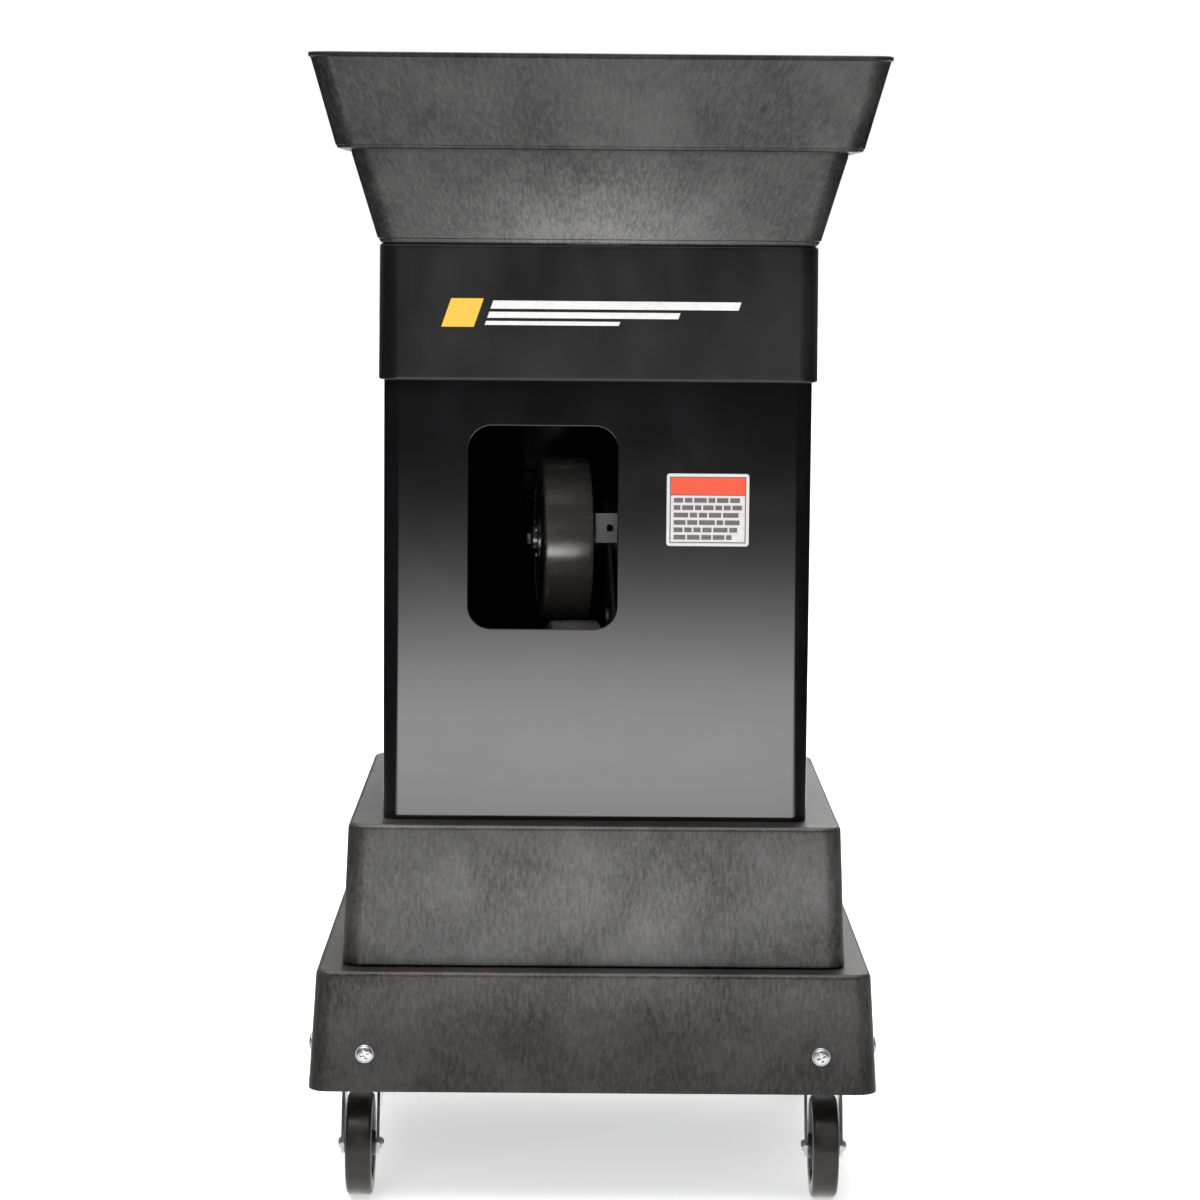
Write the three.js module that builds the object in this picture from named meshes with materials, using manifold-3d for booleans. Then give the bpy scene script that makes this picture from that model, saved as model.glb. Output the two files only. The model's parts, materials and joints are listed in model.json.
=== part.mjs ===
// Tennis ball machine: a two-tier base on casters, a square column that holds the throwing head,
// a feeder collar and a two-tier ball hopper. Millimetres, +Z up, the front faces -Y, and the
// origin is on the floor under the middle of the machine.
import * as THREE from 'three';
import { mergeVertices } from 'three/addons/utils/BufferGeometryUtils.js';
import Module from 'manifold-3d';

const wasm = await Module();
wasm.setup();

// ---------------------------------------------------------------- driving dimensions

const GAP = 0.3; // between neighbouring pieces
const OVERCUT = 2; // how far a cutting tool runs past the face it cuts
const MOULDED = 4; // wall of the moulded shells
const SHEET = 3; // wall of the folded steel covers

// Each tier is a square ring whose half-width changes evenly from its bottom to its top.
const BASE_LOWER = { bottom: 115.5, top: 234.8, halfBottom: 282, halfTop: 274.8, corner: 20 };
const BASE_UPPER = { bottom: 236.3, top: 376.6, halfBottom: 250.8, halfTop: 245, corner: 18 };
const COLLAR = { bottom: 815.5, top: 949.3, halfBottom: 217.2, halfTop: 216.4, corner: 18 };
const HOPPER_LOWER = { bottom: 949.7, top: 1041, halfBottom: 217.2, halfTop: 243.8, corner: 18 };
const HOPPER_UPPER = { bottom: 1041.3, top: 1132.5, halfBottom: 256.6, halfTop: 281.4, corner: 20 };
const COLUMN = { bottom: 377, top: 860, half: 212, corner: 16 };
const COVER_SEAM = 179; // where the front and rear covers meet on the sides

const BASE_LOWER_OPENING = 238; // half-width of the hole in the lower tier's ledge
const BASE_UPPER_OPENING = 201; // half-width of the hole in the upper tier's ledge
const HOPPER_STEP_OPENING = 239; // half-width of the hole in the upper hopper tier's floor

const WINDOW = { left: -127.6, right: 20.2, bottom: 569, top: 771, corner: 23 };
const PANEL = { left: 28, right: 178, bottom: 610, top: 760, corner: 8 };
const LABEL = { left: 68.8, right: 150.4, bottom: 653.2, top: 725.1, thickness: 0.6 };

// Sweep frame: the throwing head turns about this upright axis, and is parked at one end.
const SWEEP = { x: -45.1, y: 168, angle: THREE.MathUtils.degToRad(4.8) };
const TABLE = { bottom: 342, top: 348, pivotRadius: 12 };
const MID_DECK = { bottom: 330, top: 334, half: 190 };

// Head frame: the tilt axis runs across the machine through the point where the wheels pinch.
const NIP_REACH = 204; // in front of the sweep axis
const NIP_HEIGHT = 558.6;
const ELEVATION = THREE.MathUtils.degToRad(43.5);
const WHEEL = { radius: 86, halfWidth: 26, pinch: 45 };
const WHEEL_OFFSET = WHEEL.radius + WHEEL.pinch / 2;
const HUB_RADIUS = 14;
const HEAD_PLATE = { left: 42, right: 46 };
const CHEEK = { left: 54, right: 60 };
const PIN_RADIUS = 8;
const WHEEL_MOTOR = { radius: 36, length: 92 };
const BRACKET = { left: 29, right: 75, front: -187, bottom: 638, height: 31 };

// Both drives use the same tooth size and pinion.
const GEAR = { module: 2.5, pinionTeeth: 18, addendum: 0.8, dedendum: 1.1, backlash: 0.4 };
const PRESSURE_ANGLE = THREE.MathUtils.degToRad(20);
const SWEEP_GEAR = { teeth: 152, direction: THREE.MathUtils.degToRad(-24.8), before: 2, after: 7 };
const TILT_GEAR = { teeth: 72, direction: THREE.MathUtils.degToRad(14), before: 8, after: 2 };

// Ball path
const TUBE = { outer: 37.5, inner: 35.5 };
const ELBOW = { bend: 70, rise: THREE.MathUtils.degToRad(29), end: 95, mouth: 700 };
const DECK_HOLE = { x: -42, y: 150, radius: 38 };
const FEED_DECK = { bottom: 864, top: 868, half: 211 };
const CAROUSEL = { bottom: 872, top: 914, radius: 203, pockets: 6, pocketRadius: 38 };
const POCKET_REACH = Math.hypot(DECK_HOLE.x, DECK_HOLE.y);
const POCKET_PHASE = Math.atan2(DECK_HOLE.y, DECK_HOLE.x);

// Frame inside the covers
const PAN = { bottom: 131.7, top: 172, half: 268, corner: 14 };
const UPRIGHT = { inner: 172, outer: 199, halfDepth: 22, top: 863.7 };
const BATTERY = { left: -90.5, right: 90.5, front: 66, back: 143, height: 167 };
const BATTERY_LID = { inset: 4, thickness: 8 };
const TERMINAL = { inset: 18, half: 7, front: 10, back: 24, height: 6 };
const STRAP = { foot: 20, thickness: 2, half: 13 };
const CONTROL_BOX = { left: -80, right: 80, front: -190, back: -100, height: 48 };
const FIN = { pitch: 20, half: 2, inset: 8, height: 9 };

// Gearmotors: a square gearbox, then a round can. Lengths run from the face that bolts on.
const SWEEP_MOTOR = { half: 28, gearbox: 30, radius: 22, length: 96 };
const TILT_MOTOR = { half: 22, gearbox: 28, radius: 18, length: 78 };
const FEED_MOTOR = { half: 34, front: -26, back: 46, gearbox: 32, radius: 28, offset: 10, length: 100 };
const DRIVE_SHAFT_RADIUS = 6;

// Casters
const CASTER = { x: 232, y: 194, trail: 36, wheelRadius: 51, wheelHalf: 13 };
const CASTER_PLATE = { halfX: 30, halfY: 46, corner: 6, top: 131.4, bottom: 128.4 };
const RACE = { radius: 24, bottom: 120.4 };
const FORK = { inner: 16.2, outer: 19.2, top: 120.1, crown: 116.5, crownRadius: 26, eye: 11 };
const FORK_LEG = { front: -24, back: 22, hole: 4.5 };
const CASTER_HUB = { bore: 4.3, radius: 12, root: 14, proud: 2 };
const CASTER_RIM = { depth: 12, edge: 3, round: 4 };
const AXLE = { radius: 4, headRadius: 7.5, head: 4, nut: 4.5, tail: 7 };

// Panel controls: place on the panel, and the knob's size
const KNOBS = [
  { name: 'speed_knob', x: 62, z: 722 },
  { name: 'feed_knob', x: 103, z: 722 },
  { name: 'spin_knob', x: 144, z: 722 },
];
const KNOB = { radius: 14, skirt: 4, shoulder: 6, height: 17, spindle: 4, hole: 4.5 };
const POINTER = { half: 1.5, bottom: 5, reach: 11 };
const ROCKERS = [
  { name: 'elevation_rocker', x: 62, z: 665, tilt: 0 },
  { name: 'power_rocker', x: 103, z: 665, tilt: THREE.MathUtils.degToRad(-8) },
];
const ROCKER = { halfX: 6.5, halfZ: 11, proud: 3.5, dip: 2, depth: 7, taper: 4 };
const SOCKET = { x: 144, z: 665, radius: 11, flange: 2, mouth: 5.5, depth: 16, mouthDepth: 8 };

// ---------------------------------------------------------------- materials

const finish = (color, roughness, metalness) =>
  new THREE.MeshStandardMaterial({ color, roughness, metalness });

const MATERIALS = {
  mouldedShell: finish(0x37373a, 0.6, 0),
  mouldedBase: finish(0x403e40, 0.62, 0),
  collar: finish(0x17171a, 0.5, 0),
  cover: finish(0x121214, 0.25, 0.1),
  blackSteel: finish(0x1b1b1d, 0.5, 0.4),
  zinc: finish(0xb9bcc0, 0.35, 0.9),
  casterWheel: finish(0x2b2523, 0.6, 0),
  wheelTread: finish(0x3a3835, 0.45, 0),
  aluminium: finish(0xc4c6c8, 0.3, 0.9),
  motorCan: finish(0x202225, 0.4, 0.5),
  nylon: finish(0xd8d6cf, 0.5, 0),
  knobPlastic: finish(0x151517, 0.45, 0),
  rockerPlastic: finish(0x8f1d17, 0.35, 0),
  battery: finish(0x2a2c30, 0.55, 0),
  label: finish(0xe8e6e2, 0.4, 0),
};

// ---------------------------------------------------------------- solids

function toSolid(geometry) {
  const bare = geometry.clone();
  bare.deleteAttribute('normal');
  bare.deleteAttribute('uv');
  const merged = mergeVertices(bare);
  return new wasm.Manifold(new wasm.Mesh({
    numProp: 3,
    vertProperties: new Float32Array(merged.attributes.position.array),
    triVerts: new Uint32Array(merged.index.array),
  }));
}

function toGeometry(solid) {
  const mesh = solid.getMesh();
  const geometry = new THREE.BufferGeometry();
  geometry.setAttribute('position', new THREE.Float32BufferAttribute(mesh.vertProperties, 3));
  geometry.setIndex(new THREE.Uint32BufferAttribute(mesh.triVerts, 1));
  geometry.computeVertexNormals();
  return geometry;
}

function join(...geometries) {
  return toGeometry(geometries.map(toSolid).reduce((whole, piece) => whole.add(piece)));
}

function cut(body, ...tools) {
  return toGeometry(tools.map(toSolid).reduce((rest, tool) => rest.subtract(tool), toSolid(body)));
}

function common(first, second) {
  return toGeometry(toSolid(first).intersect(toSolid(second)));
}

// ---------------------------------------------------------------- basic shapes

function block(x0, x1, y0, y1, z0, z1) {
  const geometry = new THREE.BoxGeometry(x1 - x0, y1 - y0, z1 - z0);
  return geometry.translate((x0 + x1) / 2, (y0 + y1) / 2, (z0 + z1) / 2);
}

function rodZ(radius, z0, z1, x = 0, y = 0, sides = 24) {
  const geometry = new THREE.CylinderGeometry(radius, radius, z1 - z0, sides);
  return geometry.rotateX(Math.PI / 2).translate(x, y, (z0 + z1) / 2);
}

function rodX(radius, x0, x1, y = 0, z = 0, sides = 24) {
  const geometry = new THREE.CylinderGeometry(radius, radius, x1 - x0, sides);
  return geometry.rotateZ(-Math.PI / 2).translate((x0 + x1) / 2, y, z);
}

function rodY(radius, y0, y1, x = 0, z = 0, sides = 24) {
  const geometry = new THREE.CylinderGeometry(radius, radius, y1 - y0, sides);
  return geometry.translate(x, (y0 + y1) / 2, z);
}

function roundedRectangle(left, right, bottom, top, radius) {
  const shape = new THREE.Shape();
  shape.moveTo(left + radius, bottom);
  shape.lineTo(right - radius, bottom);
  shape.absarc(right - radius, bottom + radius, radius, -Math.PI / 2, 0);
  shape.lineTo(right, top - radius);
  shape.absarc(right - radius, top - radius, radius, 0, Math.PI / 2);
  shape.lineTo(left + radius, top);
  shape.absarc(left + radius, top - radius, radius, Math.PI / 2, Math.PI);
  shape.lineTo(left, bottom + radius);
  shape.absarc(left + radius, bottom + radius, radius, Math.PI, 1.5 * Math.PI);
  return shape;
}

function outline(points) {
  return new THREE.Shape(points.map(([x, y]) => new THREE.Vector2(x, y)));
}

const CORNER_STEPS = 2; // an arc gets twice this many steps

function extrude(shape, depth) {
  return new THREE.ExtrudeGeometry(shape, {
    depth,
    bevelEnabled: false,
    curveSegments: CORNER_STEPS,
  });
}

// A flat plate whose shape is drawn in plan.
function plateZ(shape, z0, z1) {
  return extrude(shape, z1 - z0).translate(0, 0, z0);
}

// A plate whose shape is drawn as (y, z), between two planes across the machine.
function plateX(shape, x0, x1) {
  const turn = new THREE.Matrix4().makeBasis(
    new THREE.Vector3(0, 1, 0),
    new THREE.Vector3(0, 0, 1),
    new THREE.Vector3(1, 0, 0),
  );
  return extrude(shape, x1 - x0).applyMatrix4(turn).translate(x0, 0, 0);
}

// A plate whose shape is drawn as (x, z), between two planes from front to back.
function plateY(shape, y0, y1) {
  return extrude(shape, y1 - y0).rotateX(Math.PI / 2).translate(0, y1, 0);
}

// A body of revolution about +Z from (radius, height) points, listed anticlockwise.
function turned(points, sides = 32) {
  const profile = points.map(([radius, height]) => new THREE.Vector2(radius, height));
  return new THREE.LatheGeometry(profile, sides).rotateX(Math.PI / 2);
}

// A round bar along a curve, with flat ends.
function bar(path, radius, steps, sides) {
  const section = new THREE.Shape();
  for (let i = 0; i < sides; i += 1) {
    const angle = (i / sides) * 2 * Math.PI;
    const place = [radius * Math.cos(angle), radius * Math.sin(angle)];
    if (i === 0) section.moveTo(...place);
    else section.lineTo(...place);
  }
  return new THREE.ExtrudeGeometry(section, { extrudePath: path, steps, bevelEnabled: false });
}

// ---------------------------------------------------------------- tiers

function halfAt(tier, z) {
  const part = (z - tier.bottom) / (tier.top - tier.bottom);
  return tier.halfBottom + part * (tier.halfTop - tier.halfBottom);
}

// The tier's tapered block between two heights, pulled in by an inset.
function tierBlock(tier, inset, z0, z1) {
  const low = halfAt(tier, z0) - inset;
  const high = halfAt(tier, z1) - inset;
  const geometry = plateZ(roundedRectangle(-low, low, -low, low, tier.corner - inset), z0, z1);
  const place = geometry.attributes.position;
  const middle = (z0 + z1) / 2;
  for (let i = 0; i < place.count; i += 1) {
    const scale = place.getZ(i) > middle ? high / low : 1;
    place.setX(i, place.getX(i) * scale);
    place.setY(i, place.getY(i) * scale);
  }
  return geometry;
}

// Open below, with a ledge on top that has a square hole.
function hoodTier(tier, opening) {
  return cut(
    tierBlock(tier, 0, tier.bottom, tier.top),
    tierBlock(tier, MOULDED, tier.bottom - OVERCUT, tier.top - MOULDED),
    block(-opening, opening, -opening, opening, tier.bottom, tier.top + OVERCUT),
  );
}

// Open above, with a floor that a tool cuts through.
function binTier(tier, floorTool) {
  return cut(
    tierBlock(tier, 0, tier.bottom, tier.top),
    tierBlock(tier, MOULDED, tier.bottom + MOULDED, tier.top + OVERCUT),
    floorTool,
  );
}

// ---------------------------------------------------------------- gears

const involute = (angle) => Math.tan(angle) - angle;

// Half the angle that a tooth fills at a radius.
function toothHalfAngle(teeth, radius) {
  const pitch = (GEAR.module * teeth) / 2;
  const base = pitch * Math.cos(PRESSURE_ANGLE);
  const here = Math.acos(Math.min(1, base / Math.max(radius, base)));
  const onPitch = Math.PI / (2 * teeth) - GEAR.backlash / (4 * pitch);
  return onPitch + involute(PRESSURE_ANGLE) - involute(here);
}

// Points of one tooth around its middle direction, in order of rising angle.
function toothPoints(teeth, middle) {
  const pitch = (GEAR.module * teeth) / 2;
  const root = pitch - GEAR.dedendum * GEAR.module;
  const tip = pitch + GEAR.addendum * GEAR.module;
  const radii = [root, pitch, tip];
  const rising = radii.map((radius) => [radius, middle - toothHalfAngle(teeth, radius)]);
  const falling = radii.map((radius) => [radius, middle + toothHalfAngle(teeth, radius)]);
  return [...rising, ...falling.reverse()].map(([radius, angle]) => [
    radius * Math.cos(angle),
    radius * Math.sin(angle),
  ]);
}

function teethPoints(teeth, first, count) {
  const step = (2 * Math.PI) / teeth;
  const points = [];
  for (let i = 0; i < count; i += 1) points.push(...toothPoints(teeth, first + i * step));
  return points;
}

// A whole pinion with a gap, not a tooth, in the direction of its mate.
function pinionShape(mateDirection) {
  const teeth = GEAR.pinionTeeth;
  return outline(teethPoints(teeth, mateDirection + Math.PI / teeth, teeth));
}

const centreDistance = (teeth) => (GEAR.module * (teeth + GEAR.pinionTeeth)) / 2;

// ---------------------------------------------------------------- assembly tree

const machine = new THREE.Group();
machine.name = 'tennis_ball_machine';

const sweepFrame = new THREE.Group();
sweepFrame.position.set(SWEEP.x, SWEEP.y, 0);
sweepFrame.rotation.z = SWEEP.angle;
machine.add(sweepFrame);

const headFrame = new THREE.Group();
headFrame.position.set(0, -NIP_REACH, NIP_HEIGHT);
headFrame.rotation.x = -ELEVATION;
sweepFrame.add(headFrame);

function add(parent, name, geometry, material) {
  const mesh = new THREE.Mesh(geometry, material);
  mesh.name = name;
  parent.add(mesh);
  return mesh;
}

// ---------------------------------------------------------------- base

function basePan() {
  const tray = plateZ(
    roundedRectangle(-PAN.half, PAN.half, -PAN.half, PAN.half, PAN.corner), PAN.bottom, PAN.top,
  );
  const inside = PAN.half - SHEET;
  return cut(tray, plateZ(
    roundedRectangle(-inside, inside, -inside, inside, PAN.corner - SHEET),
    PAN.bottom + SHEET,
    PAN.top + OVERCUT,
  ));
}

// A steel channel with its open side towards the middle of the machine.
function upright(side) {
  const { inner, outer, halfDepth, top } = UPRIGHT;
  const web = outer - SHEET;
  const lip = halfDepth - SHEET;
  const section = [
    [inner, -halfDepth], [outer, -halfDepth], [outer, halfDepth], [inner, halfDepth],
    [inner, lip], [web, lip], [web, -lip], [inner, -lip],
  ].map(([x, y]) => [side * x, y]);
  if (side < 0) section.reverse();
  return plateZ(outline(section), PAN.bottom + SHEET + GAP, top);
}

const pinionPlace = centreDistance(SWEEP_GEAR.teeth);
const sweepPinion = {
  x: SWEEP.x + pinionPlace * Math.sin(SWEEP_GEAR.direction + SWEEP.angle),
  y: SWEEP.y - pinionPlace * Math.cos(SWEEP_GEAR.direction + SWEEP.angle),
};

function midDeck() {
  const { bottom, top, half } = MID_DECK;
  const plate = plateZ(roundedRectangle(-half, half, -half, half, PAN.corner), bottom, top);
  const post = rodZ(TABLE.pivotRadius - GAP, top - GAP, TABLE.top + 3, SWEEP.x, SWEEP.y);
  const notch = UPRIGHT.halfDepth + GAP;
  const notchInner = UPRIGHT.inner - GAP;
  return cut(
    join(plate, post),
    block(notchInner, half + OVERCUT, -notch, notch, bottom - OVERCUT, top + OVERCUT),
    block(-half - OVERCUT, -notchInner, -notch, notch, bottom - OVERCUT, top + OVERCUT),
    rodZ(
      2 * DRIVE_SHAFT_RADIUS, bottom - OVERCUT, top + OVERCUT, sweepPinion.x, sweepPinion.y,
    ),
  );
}

function battery() {
  const { left, right, front, back, height } = BATTERY;
  const floor = PAN.bottom + SHEET + GAP;
  const lid = floor + height;
  const { inset, thickness } = BATTERY_LID;
  const seam = lid - thickness;
  const caseBlock = block(left, right, front, back, floor, seam);
  const top = block(left + inset, right - inset, front + inset, back - inset, seam - 1, lid);
  const terminals = [left + TERMINAL.inset, right - TERMINAL.inset].map((x) => block(
    x - TERMINAL.half, x + TERMINAL.half, front + TERMINAL.front, front + TERMINAL.back,
    lid - 1, lid + TERMINAL.height,
  ));
  return join(caseBlock, top, ...terminals);
}

function batteryStrap() {
  const { front, back, height } = BATTERY;
  const floor = PAN.bottom + SHEET + GAP;
  const lid = floor + height + GAP;
  const y0 = front - GAP;
  const y1 = back + GAP;
  const { foot, thickness: thick, half } = STRAP;
  return plateX(outline([
    [y0 - foot, floor], [y0, floor], [y0, lid], [y1, lid], [y1, floor], [y1 + foot, floor],
    [y1 + foot, floor + thick], [y1 + thick, floor + thick], [y1 + thick, lid + thick],
    [y0 - thick, lid + thick], [y0 - thick, floor + thick], [y0 - foot, floor + thick],
  ]), -half, half);
}

function controlBox() {
  const { left, right, front, back, height } = CONTROL_BOX;
  const floor = PAN.bottom + SHEET + GAP;
  const lid = floor + height;
  const box = block(left, right, front, back, floor, lid);
  const fins = [];
  for (let x = left + FIN.pitch / 2; x < right; x += FIN.pitch) {
    fins.push(block(
      x - FIN.half, x + FIN.half, front + FIN.inset, back - FIN.inset, lid - 1, lid + FIN.height,
    ));
  }
  return join(box, ...fins);
}

function sweepMotor() {
  const top = MID_DECK.bottom - GAP;
  const { x, y } = sweepPinion;
  const { half, gearbox, radius, length } = SWEEP_MOTOR;
  return join(
    block(x - half, x + half, y - half, y + half, top - gearbox, top),
    rodZ(radius, top - length, top - gearbox + 1, x, y),
  );
}

function sweepPinionSolid() {
  const mate = Math.PI / 2 + SWEEP_GEAR.direction + SWEEP.angle;
  const gear = plateZ(pinionShape(mate), TABLE.bottom - 1, TABLE.top + 1);
  return join(
    gear.translate(sweepPinion.x, sweepPinion.y, 0),
    rodZ(DRIVE_SHAFT_RADIUS, MID_DECK.bottom + GAP, TABLE.bottom, sweepPinion.x, sweepPinion.y),
  );
}

add(machine, 'base_lower_shell', hoodTier(BASE_LOWER, BASE_LOWER_OPENING), MATERIALS.mouldedBase);
add(machine, 'base_upper_shell', hoodTier(BASE_UPPER, BASE_UPPER_OPENING), MATERIALS.mouldedBase);
add(machine, 'base_pan', basePan(), MATERIALS.blackSteel);
add(machine, 'left_upright', upright(-1), MATERIALS.zinc);
add(machine, 'right_upright', upright(1), MATERIALS.zinc);
add(machine, 'mid_deck', midDeck(), MATERIALS.zinc);
add(machine, 'battery', battery(), MATERIALS.battery);
add(machine, 'battery_strap', batteryStrap(), MATERIALS.blackSteel);
add(machine, 'control_box', controlBox(), MATERIALS.aluminium);
add(machine, 'sweep_motor', sweepMotor(), MATERIALS.motorCan);
add(machine, 'sweep_pinion', sweepPinionSolid(), MATERIALS.nylon);

// ---------------------------------------------------------------- casters

function casterPlate() {
  const { halfX, halfY, corner, top, bottom } = CASTER_PLATE;
  return join(
    plateZ(roundedRectangle(-halfX, halfX, -halfY, halfY, corner), bottom, top),
    rodZ(RACE.radius, RACE.bottom, bottom + 1, 0, 0, 16),
  );
}

// Each leg runs from the crown down and forward to the axle eye.
function casterFork() {
  const axle = { y: -CASTER.trail, z: CASTER.wheelRadius };
  const { front, back, hole } = FORK_LEG;
  const thickness = FORK.outer - FORK.inner;
  const leg = new THREE.Shape();
  leg.moveTo(back, FORK.top);
  leg.lineTo(front, FORK.top);
  leg.lineTo(axle.y - FORK.eye, axle.z + 4);
  leg.absarc(axle.y, axle.z, FORK.eye, Math.PI, 1.85 * Math.PI);
  leg.lineTo(back, FORK.crown - 14);
  const crown = rodZ(FORK.crownRadius, FORK.crown, FORK.top, 0, 0, 16);
  const bridge = block(-FORK.outer, FORK.outer, front, back, FORK.crown, FORK.top);
  const legs = [-FORK.outer, FORK.inner].map((x0) => {
    const x1 = x0 + thickness;
    return cut(
      plateX(leg, x0, x1),
      rodX(hole, x0 - OVERCUT, x1 + OVERCUT, axle.y, axle.z, 10),
    );
  });
  return join(crown, bridge, ...legs);
}

function casterWheel() {
  const half = CASTER.wheelHalf;
  const outer = CASTER.wheelRadius;
  const { bore, radius, root, proud } = CASTER_HUB;
  const { depth, edge, round } = CASTER_RIM;
  const side = [
    [bore, half + proud], [radius, half + proud], [root, half - proud],
    [outer - depth, half], [outer - edge, half], [outer, half - round],
  ];
  const left = side.map(([reach, x]) => [reach, -x]);
  return turned([...left, ...side.reverse(), left[0]], 20)
    .rotateY(Math.PI / 2)
    .translate(0, -CASTER.trail, CASTER.wheelRadius);
}

function casterAxle() {
  const end = FORK.outer + GAP;
  const y = -CASTER.trail;
  const z = CASTER.wheelRadius;
  const { radius, headRadius, head, nut, tail } = AXLE;
  return join(
    rodX(radius, -end - head + 1, end + tail, y, z, 10),
    rodX(headRadius, -end - head, -end, y, z, 6),
    rodX(headRadius, end, end + nut, y, z, 6),
  );
}

const CORNERS = [
  { tag: 'front_left', x: -CASTER.x, y: -CASTER.y },
  { tag: 'front_right', x: CASTER.x, y: -CASTER.y },
  { tag: 'rear_left', x: -CASTER.x, y: CASTER.y },
  { tag: 'rear_right', x: CASTER.x, y: CASTER.y },
];

for (const { tag, x, y } of CORNERS) {
  const caster = new THREE.Group();
  caster.position.set(x, y, 0);
  caster.rotation.z = y < 0 ? 0 : Math.PI;
  machine.add(caster);
  add(caster, `caster_plate_${tag}`, casterPlate(), MATERIALS.zinc);
  add(caster, `caster_fork_${tag}`, casterFork(), MATERIALS.zinc);
  add(caster, `caster_wheel_${tag}`, casterWheel(), MATERIALS.casterWheel);
  add(caster, `caster_axle_${tag}`, casterAxle(), MATERIALS.zinc);
}

// ---------------------------------------------------------------- column covers

function coverTube() {
  const { bottom, top, half, corner } = COLUMN;
  const inside = half - SHEET;
  return cut(
    plateZ(roundedRectangle(-half, half, -half, half, corner), bottom, top),
    plateZ(
      roundedRectangle(-inside, inside, -inside, inside, corner - SHEET),
      bottom - OVERCUT,
      top + OVERCUT,
    ),
  );
}

function frontCover() {
  const { bottom, top, half } = COLUMN;
  const window = roundedRectangle(
    WINDOW.left, WINDOW.right, WINDOW.bottom, WINDOW.top, WINDOW.corner,
  );
  const keep = block(-half - 1, half + 1, -half - 1, COVER_SEAM - GAP / 2, bottom - 1, top + 1);
  return cut(
    common(coverTube(), keep),
    plateY(window, -half - OVERCUT, -half + SHEET + OVERCUT),
  );
}

function rearCover() {
  const { bottom, top, half } = COLUMN;
  const keep = block(-half - 1, half + 1, COVER_SEAM + GAP / 2, half + 1, bottom - 1, top + 1);
  const hole = roundedRectangle(PANEL.left, PANEL.right, PANEL.bottom, PANEL.top, PANEL.corner);
  return cut(
    common(coverTube(), keep),
    plateY(hole, half - SHEET - OVERCUT, half + OVERCUT),
  );
}

function collar() {
  const inside = COLUMN.half + GAP;
  return cut(
    tierBlock(COLLAR, 0, COLLAR.bottom, COLLAR.top),
    plateZ(
      roundedRectangle(-inside, inside, -inside, inside, COLUMN.corner + GAP),
      COLLAR.bottom - OVERCUT,
      COLLAR.top + OVERCUT,
    ),
  );
}

function cautionLabel() {
  const { left, right, bottom, top, thickness } = LABEL;
  const face = -COLUMN.half - GAP;
  return plateY(roundedRectangle(left, right, bottom, top, 3), face - thickness, face);
}

add(machine, 'front_cover', frontCover(), MATERIALS.cover);
add(machine, 'rear_cover', rearCover(), MATERIALS.cover);
add(machine, 'collar', collar(), MATERIALS.collar);
add(machine, 'caution_label', cautionLabel(), MATERIALS.label);

// ---------------------------------------------------------------- control panel

const PANEL_FACE = COLUMN.half + 1;

function controlPanel() {
  const fit = GAP;
  const plug = roundedRectangle(
    PANEL.left + fit, PANEL.right - fit, PANEL.bottom + fit, PANEL.top - fit, PANEL.corner - fit,
  );
  const behind = COLUMN.half - 10;
  const before = PANEL_FACE + OVERCUT;
  const holes = KNOBS.map(({ x, z }) => rodY(KNOB.hole, behind, before, x, z, 10));
  const slots = ROCKERS.map(({ x, z }) => block(
    x - ROCKER.halfX - GAP, x + ROCKER.halfX + GAP, behind, before,
    z - ROCKER.halfZ - 1, z + ROCKER.halfZ + 1,
  ));
  const socket = rodY(
    SOCKET.radius - SOCKET.flange + GAP, behind, before, SOCKET.x, SOCKET.z, 16,
  );
  return cut(plateY(plug, COLUMN.half - SHEET, PANEL_FACE), ...holes, ...slots, socket);
}

function knob({ x, z }) {
  const base = PANEL_FACE + GAP;
  const { radius, skirt, shoulder, height } = KNOB;
  const body = turned([
    [0, 0], [radius, 0], [radius, skirt], [radius - 3, shoulder],
    [radius - 4, height - 1.5], [radius - 6, height], [0, height],
  ], 16).rotateX(-Math.PI / 2).translate(x, base, z);
  const pointer = block(
    x - POINTER.half, x + POINTER.half, base + POINTER.bottom, base + height + 1,
    z, z + POINTER.reach,
  );
  const spindle = rodY(KNOB.spindle, COLUMN.half - SHEET - 3, base + 1, x, z, 10);
  return join(body, pointer, spindle);
}

function rocker({ x, z, tilt }) {
  const { halfX, halfZ, proud, dip, depth, taper } = ROCKER;
  const cap = plateX(outline([
    [-depth, -halfZ + taper], [proud, -halfZ], [proud - dip, 0], [proud, halfZ],
    [-depth, halfZ - taper],
  ]), -halfX, halfX);
  return cap.rotateX(tilt).translate(x, PANEL_FACE, z);
}

function chargeSocket() {
  const { x, z, radius, flange, mouth, depth, mouthDepth } = SOCKET;
  const face = PANEL_FACE + 3;
  const rim = rodY(radius, PANEL_FACE + GAP, face, x, z, 16);
  const barrel = rodY(radius - flange, COLUMN.half - depth, PANEL_FACE + 1, x, z, 16);
  const hole = rodY(mouth, COLUMN.half - mouthDepth, face + OVERCUT, x, z, 10);
  return cut(join(rim, barrel), hole);
}

add(machine, 'control_panel', controlPanel(), MATERIALS.blackSteel);
for (const spec of KNOBS) add(machine, spec.name, knob(spec), MATERIALS.knobPlastic);
for (const spec of ROCKERS) add(machine, spec.name, rocker(spec), MATERIALS.rockerPlastic);
add(machine, 'charge_socket', chargeSocket(), MATERIALS.knobPlastic);

// ---------------------------------------------------------------- hopper and feeder

function hopperLower() {
  const { bottom } = HOPPER_LOWER;
  const mouth = rodZ(CAROUSEL.radius, bottom - OVERCUT, bottom + MOULDED + OVERCUT, 0, 0, 40);
  return binTier(HOPPER_LOWER, mouth);
}

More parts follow.
